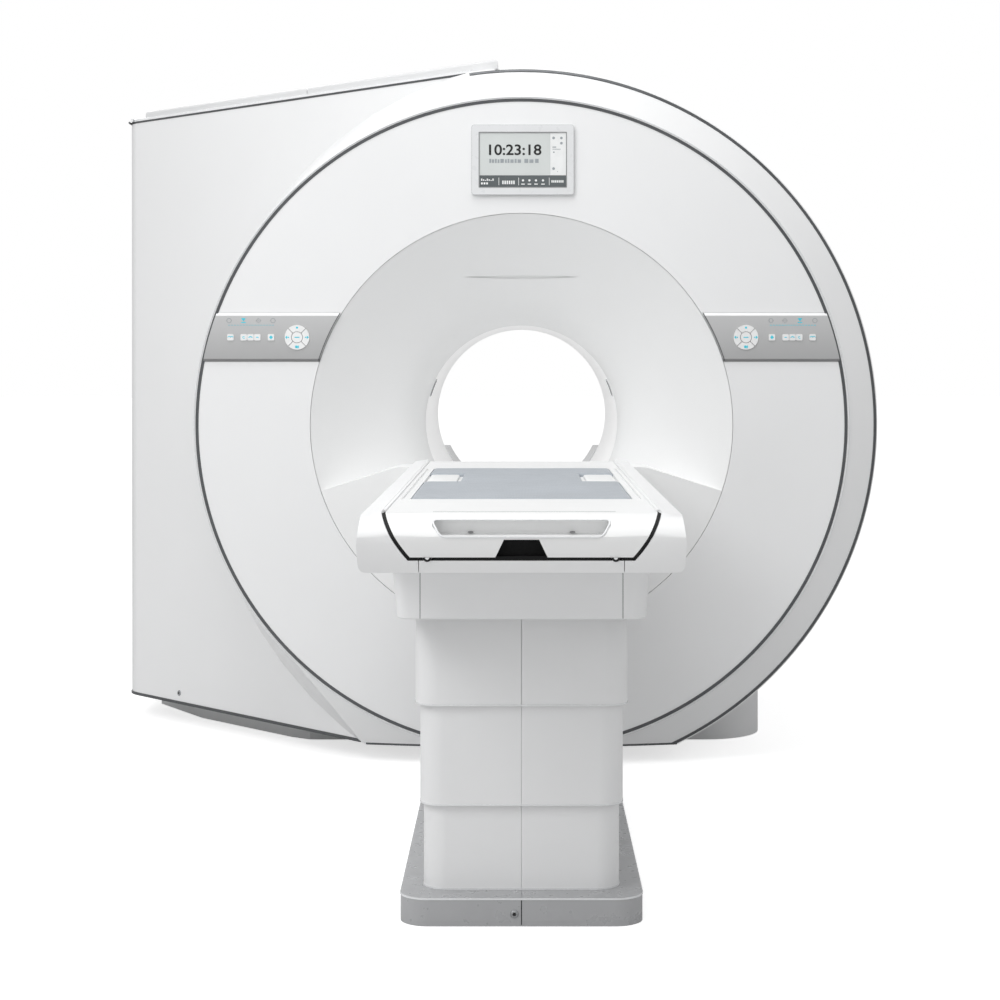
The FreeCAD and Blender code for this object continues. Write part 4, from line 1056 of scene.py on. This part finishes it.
# ---- mat ----
mat_low, mat_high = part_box("mat")
MAT_HALF, MAT_FRONT, MAT_REAR = 0.252, -2.684, -1.385
NOTCH_X, NOTCH_FRONT, NOTCH_REAR = 0.159, -2.031, -1.657
mat_side = [(MAT_HALF, MAT_FRONT), (MAT_HALF, NOTCH_FRONT), (NOTCH_X, NOTCH_FRONT),
            (NOTCH_X, NOTCH_REAR), (MAT_HALF, NOTCH_REAR), (MAT_HALF, MAT_REAR)]
mat_outline = mat_side + [(-x, y) for x, y in reversed(mat_side)]
EDGE_STEPS = [0.0, 0.0015, 0.004, 0.008, 0.012, 0.016]   # grid lines beside an edge
EDGE_ROLL = 0.014            # the soft edge curves over this width
EDGE_SHARE, ROLL_SHARE = 0.52, 0.46          # height at the edge, and what the curve adds
CROWN_RISE, CROWN_REACH = 0.0011, 0.20
MAT_SINK = 0.0013
STITCH_DEPTH, STITCH_FROM_EDGE, STITCH_WIDTH = 0.0010, 0.020, 0.0022
RIPPLE, RIPPLE_ACROSS, RIPPLE_ALONG, RIPPLE_START = 0.00035, 23, 9.5, 1.3
MAT_PLAY = 0.0002            # between the mat and the tray
FOOT_SCALE = 0.9935          # the mat's sides draw in towards its foot
ON_OUTLINE = 1e-6            # a corner this near the outline lies on it
SIDE_LEVEL = 0.35
GRIP_SIZE = (0.078, 0.350, 0.016)            # width, length, corner
GRIP_X, GRIP_Y, GRIP_SHARE = 0.2085, -1.844, 0.55


def from_edge(x, y):
    """Distance from a point on the mat to its outline."""
    best = math.inf
    for (x0, y0), (x1, y1) in zip(mat_outline, mat_outline[1:] + mat_outline[:1]):
        dx, dy = x1 - x0, y1 - y0
        share = max(0.0, min(1.0, ((x - x0) * dx + (y - y0) * dy) / (dx * dx + dy * dy)))
        best = min(best, math.hypot(x - x0 - share * dx, y - y0 - share * dy))
    return best


def spaced(stops, step):
    """Grid lines that pass through every stop, closer together beside the stops."""
    lines = []
    for a, b in zip(stops, stops[1:]):
        inner = [e for e in EDGE_STEPS if e < (b - a) / 2]
        span = (b - a) - 2 * inner[-1]
        count = max(1, round(span / step))
        lines += [a + e for e in inner]
        lines += [a + inner[-1] + span * i / count for i in range(1, count)]
        lines += [b - e for e in reversed(inner)][:-1]
    return lines + [stops[-1]]


def mat_top(x, y):
    """Height of the mat's crowned top, with a stitched line just inside its edge."""
    edge = from_edge(x, y)
    thick = mat_high.z - mat_low.z
    turn = min(edge / EDGE_ROLL, 1.0)
    height = thick * (EDGE_SHARE + ROLL_SHARE * math.sqrt(1 - (1 - turn) ** 2))
    height += CROWN_RISE * min(edge / CROWN_REACH, 1.0) - MAT_SINK
    height -= STITCH_DEPTH * math.exp(-((edge - STITCH_FROM_EDGE) / STITCH_WIDTH) ** 2)
    height += RIPPLE * math.sin(x * RIPPLE_ACROSS + RIPPLE_START) * math.sin(y * RIPPLE_ALONG)
    return mat_low.z + height


def crowned_mat():
    """The mat as one closed form: its crowned top, its drawn-in sides and its flat foot."""
    xs = spaced([-MAT_HALF, -NOTCH_X, NOTCH_X, MAT_HALF], 0.012)
    ys = spaced([MAT_FRONT, NOTCH_FRONT, NOTCH_REAR, MAT_REAR], 0.014)
    cells = [(i, j) for i in range(len(xs) - 1) for j in range(len(ys) - 1)
             if abs(xs[i] + xs[i + 1]) / 2 < NOTCH_X
             or not NOTCH_FRONT < (ys[j] + ys[j + 1]) / 2 < NOTCH_REAR]
    filled = set(cells)
    corners, faces, index = [], [], {}

    def corner(i, j, level):
        if (i, j, level) not in index:
            index[i, j, level] = len(corners)
            x, y = xs[i], ys[j]
            if level == "low":
                z = mat_low.z + MAT_PLAY
                if from_edge(x, y) < ON_OUTLINE:
                    x *= FOOT_SCALE
            elif level == "side":
                z = mat_low.z + (mat_high.z - mat_low.z) * SIDE_LEVEL
            else:
                z = mat_top(x, y)
            corners.append((x, y, z))
        return index[i, j, level]

    for i, j in cells:
        square = [(i, j), (i + 1, j), (i + 1, j + 1), (i, j + 1)]
        faces.append(tuple(corner(a, b, "top") for a, b in square))
        faces.append(tuple(corner(a, b, "low") for a, b in reversed(square)))
        for (a, b), (c, d), beside in zip(square, square[1:] + square[:1],
                                          ((i, j - 1), (i + 1, j), (i, j + 1), (i - 1, j))):
            if beside not in filled:
                faces.append((corner(a, b, "low"), corner(c, d, "low"), corner(c, d, "side"),
                              corner(a, b, "side")))
                faces.append((corner(a, b, "side"), corner(c, d, "side"), corner(c, d, "top"),
                              corner(a, b, "top")))
    return piece_from("mat_cushion", corners, faces, mat_cloth(), "cradle")


def mat_cloth():
    """Grey coated cloth: a fine weave, soft blotches and a little sheen."""
    material = paint("mat_cloth", (0.40, 0.435, 0.475), 0.52, tint=0.05, broad=5.0, sheen=0.15)
    tree = material.node_tree
    shader = tree.nodes["Principled BSDF"]
    place = add_node(tree, "ShaderNodeTexCoord")
    threads = []
    for axis in ("X", "Y"):
        wave = add_node(tree, "ShaderNodeTexWave", {"Scale": 90.0, "Distortion": 0.6,
                                                    "Detail": 1.0},
                        wave_type="BANDS", bands_direction=axis)
        link(place.outputs["Object"], wave.inputs["Vector"])
        threads.append(wave.outputs["Fac"])
    weave = add_node(tree, "ShaderNodeMath", operation="MULTIPLY")
    link(threads[0], weave.inputs[0])
    link(threads[1], weave.inputs[1])
    relief = add_node(tree, "ShaderNodeBump", {"Strength": 0.35, "Distance": 0.0006})
    link(weave.outputs["Value"], relief.inputs["Height"])
    link(relief.outputs["Normal"], shader.inputs["Normal"])
    multiplied(material, ranged(tree, weave.outputs["Value"], 0.90, 1.05))
    return material


cushion = crowned_mat()
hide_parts("mat")

for side, sign in SIDES:
    slabs("mat_grip_" + side, [rounded(*GRIP_SIZE, 5)],
          lambda u, v, out, sign=sign: Vector((sign * GRIP_X + u, GRIP_Y + v,
                                               mat_low.z + MAT_PLAY + out)),
          (mat_high.z - mat_low.z) * GRIP_SHARE, looks["cradle_white"], *ON_CRADLE, bevel=0.003)


# ---- fittings on the sides that the photograph hides ----
VENT_COUNT, VENT_PITCH = 9, 0.030
VENT_X, VENT_Z = -1.02, 0.42
VENT_SIZE = (0.30, 0.011)
PLATE_X, PLATE_Z, PLATE_THICK = -1.05, 1.02, 0.004
PLATE_SIZE = (0.26, 0.18, 0.012)             # width, height, corner
SOCKET_R, SOCKET_DEPTH = 0.022, 0.006
SOCKETS = [(u, v) for v in (0.035, -0.04) for u in (-0.07, 0.0, 0.07)]


def facing_rear(x, z, proud=-0.0005):
    return lambda u, v, out: Vector((x - u, GANTRY_HALF + proud + out, z + v))


for number in range(VENT_COUNT):
    slabs("rear_vent_%d" % (number + 1), [dash(*VENT_SIZE)],
          facing_rear(VENT_X, VENT_Z + VENT_PITCH * number), 0.0012, vent_black, *ON_COVER)
slabs("rear_plate", [rounded(*PLATE_SIZE)], facing_rear(PLATE_X, PLATE_Z), PLATE_THICK,
      looks["bezel_grey"], *ON_COVER, bevel=0.001)
for number, (u, v) in enumerate(SOCKETS, 1):
    slabs("rear_socket_%d" % number, [disc(SOCKET_R, 24)],
          facing_rear(PLATE_X - u, PLATE_Z + v, 0.003), SOCKET_DEPTH, trim_dark, *ON_COVER,
          bevel=0.001)

# ---- floor, light and camera ----
FLOOR_LEFT, FLOOR_RIGHT, FLOOR_FRONT, FLOOR_REAR = -40, 40, -30, 60
FLOOR_GLOW = 0.62
FLOOR_BOUNCE = 0.66
WORLD_LIGHT = 0.60
floor_mesh = bpy.data.meshes.new("floor")
floor_mesh.from_pydata([(x, y, 0) for x, y in upright(FLOOR_LEFT, FLOOR_RIGHT, FLOOR_FRONT,
                                                      FLOOR_REAR)], [], [(0, 1, 2, 3)])
floor = bpy.data.objects.new("floor", floor_mesh)
scene.collection.objects.link(floor)


def floor_finish():
    """White paint where the camera sees it, and a dim floor to light that falls on the part."""
    material = glowing(paint("floor_paint", (0.80, 0.80, 0.80), 0.85, tint=0.003, broad=0.4,
                             grain=60, bump=0.01), FLOOR_GLOW)
    tree = material.node_tree
    dim = add_node(tree, "ShaderNodeBsdfDiffuse", {"Color": (FLOOR_BOUNCE,) * 3 + (1,)})
    seen_by_camera(tree, tree.nodes["Principled BSDF"].outputs["BSDF"], dim.outputs["BSDF"],
                   tree.nodes["Material Output"])
    return material


floor_mesh.materials.append(floor_finish())

world = bpy.data.worlds.new("studio")
scene.world = world
world.use_nodes = True
world.node_tree.nodes.clear()
seen, soft = (add_node(world.node_tree, "ShaderNodeBackground",
                       {"Color": (1, 1, 1, 1), "Strength": strength})
              for strength in (1.0, WORLD_LIGHT))
seen_by_camera(world.node_tree, seen.outputs["Background"], soft.outputs["Background"],
               add_node(world.node_tree, "ShaderNodeOutputWorld"))


def lamp(name, at, towards, size, watts):
    """A round soft lamp."""
    data = bpy.data.lights.new(name, "AREA")
    data.shape = "DISK"
    data.size = size
    data.energy = watts
    light = bpy.data.objects.new(name, data)
    scene.collection.objects.link(light)
    light.location = at
    light.rotation_euler = (Vector(towards) - Vector(at)).to_track_quat("-Z", "Y").to_euler()


lamp("key_light", (-3.4, -5.2, 4.4), (-0.3, -1.4, 0.9), 3.0, 96)
lamp("low_light", (-0.6, -6.6, 0.7), (0.0, -2.7, 0.35), 1.6, 7)
lamp("top_light", (-0.5, -2.4, 5.0), (0.0, -0.9, 1.1), 3.4, 80)
lamp("rear_light", (-3.0, 6.0, 4.5), (0.0, 0.5, 1.0), 3.0, 60)

camera_data = bpy.data.cameras.new("camera")
camera_data.sensor_width = 36.0
camera_data.lens = 75.6
camera_data.shift_x = -0.0215
camera_data.shift_y = -0.142
camera_data.clip_end = 200.0
camera = bpy.data.objects.new("camera", camera_data)
scene.collection.objects.link(camera)
camera.location = (0.0, EYE_Y, EYE_Z)
camera.rotation_euler = (math.radians(90), 0.0, 0.0)
scene.camera = camera
scene.view_settings.view_transform = "Standard"
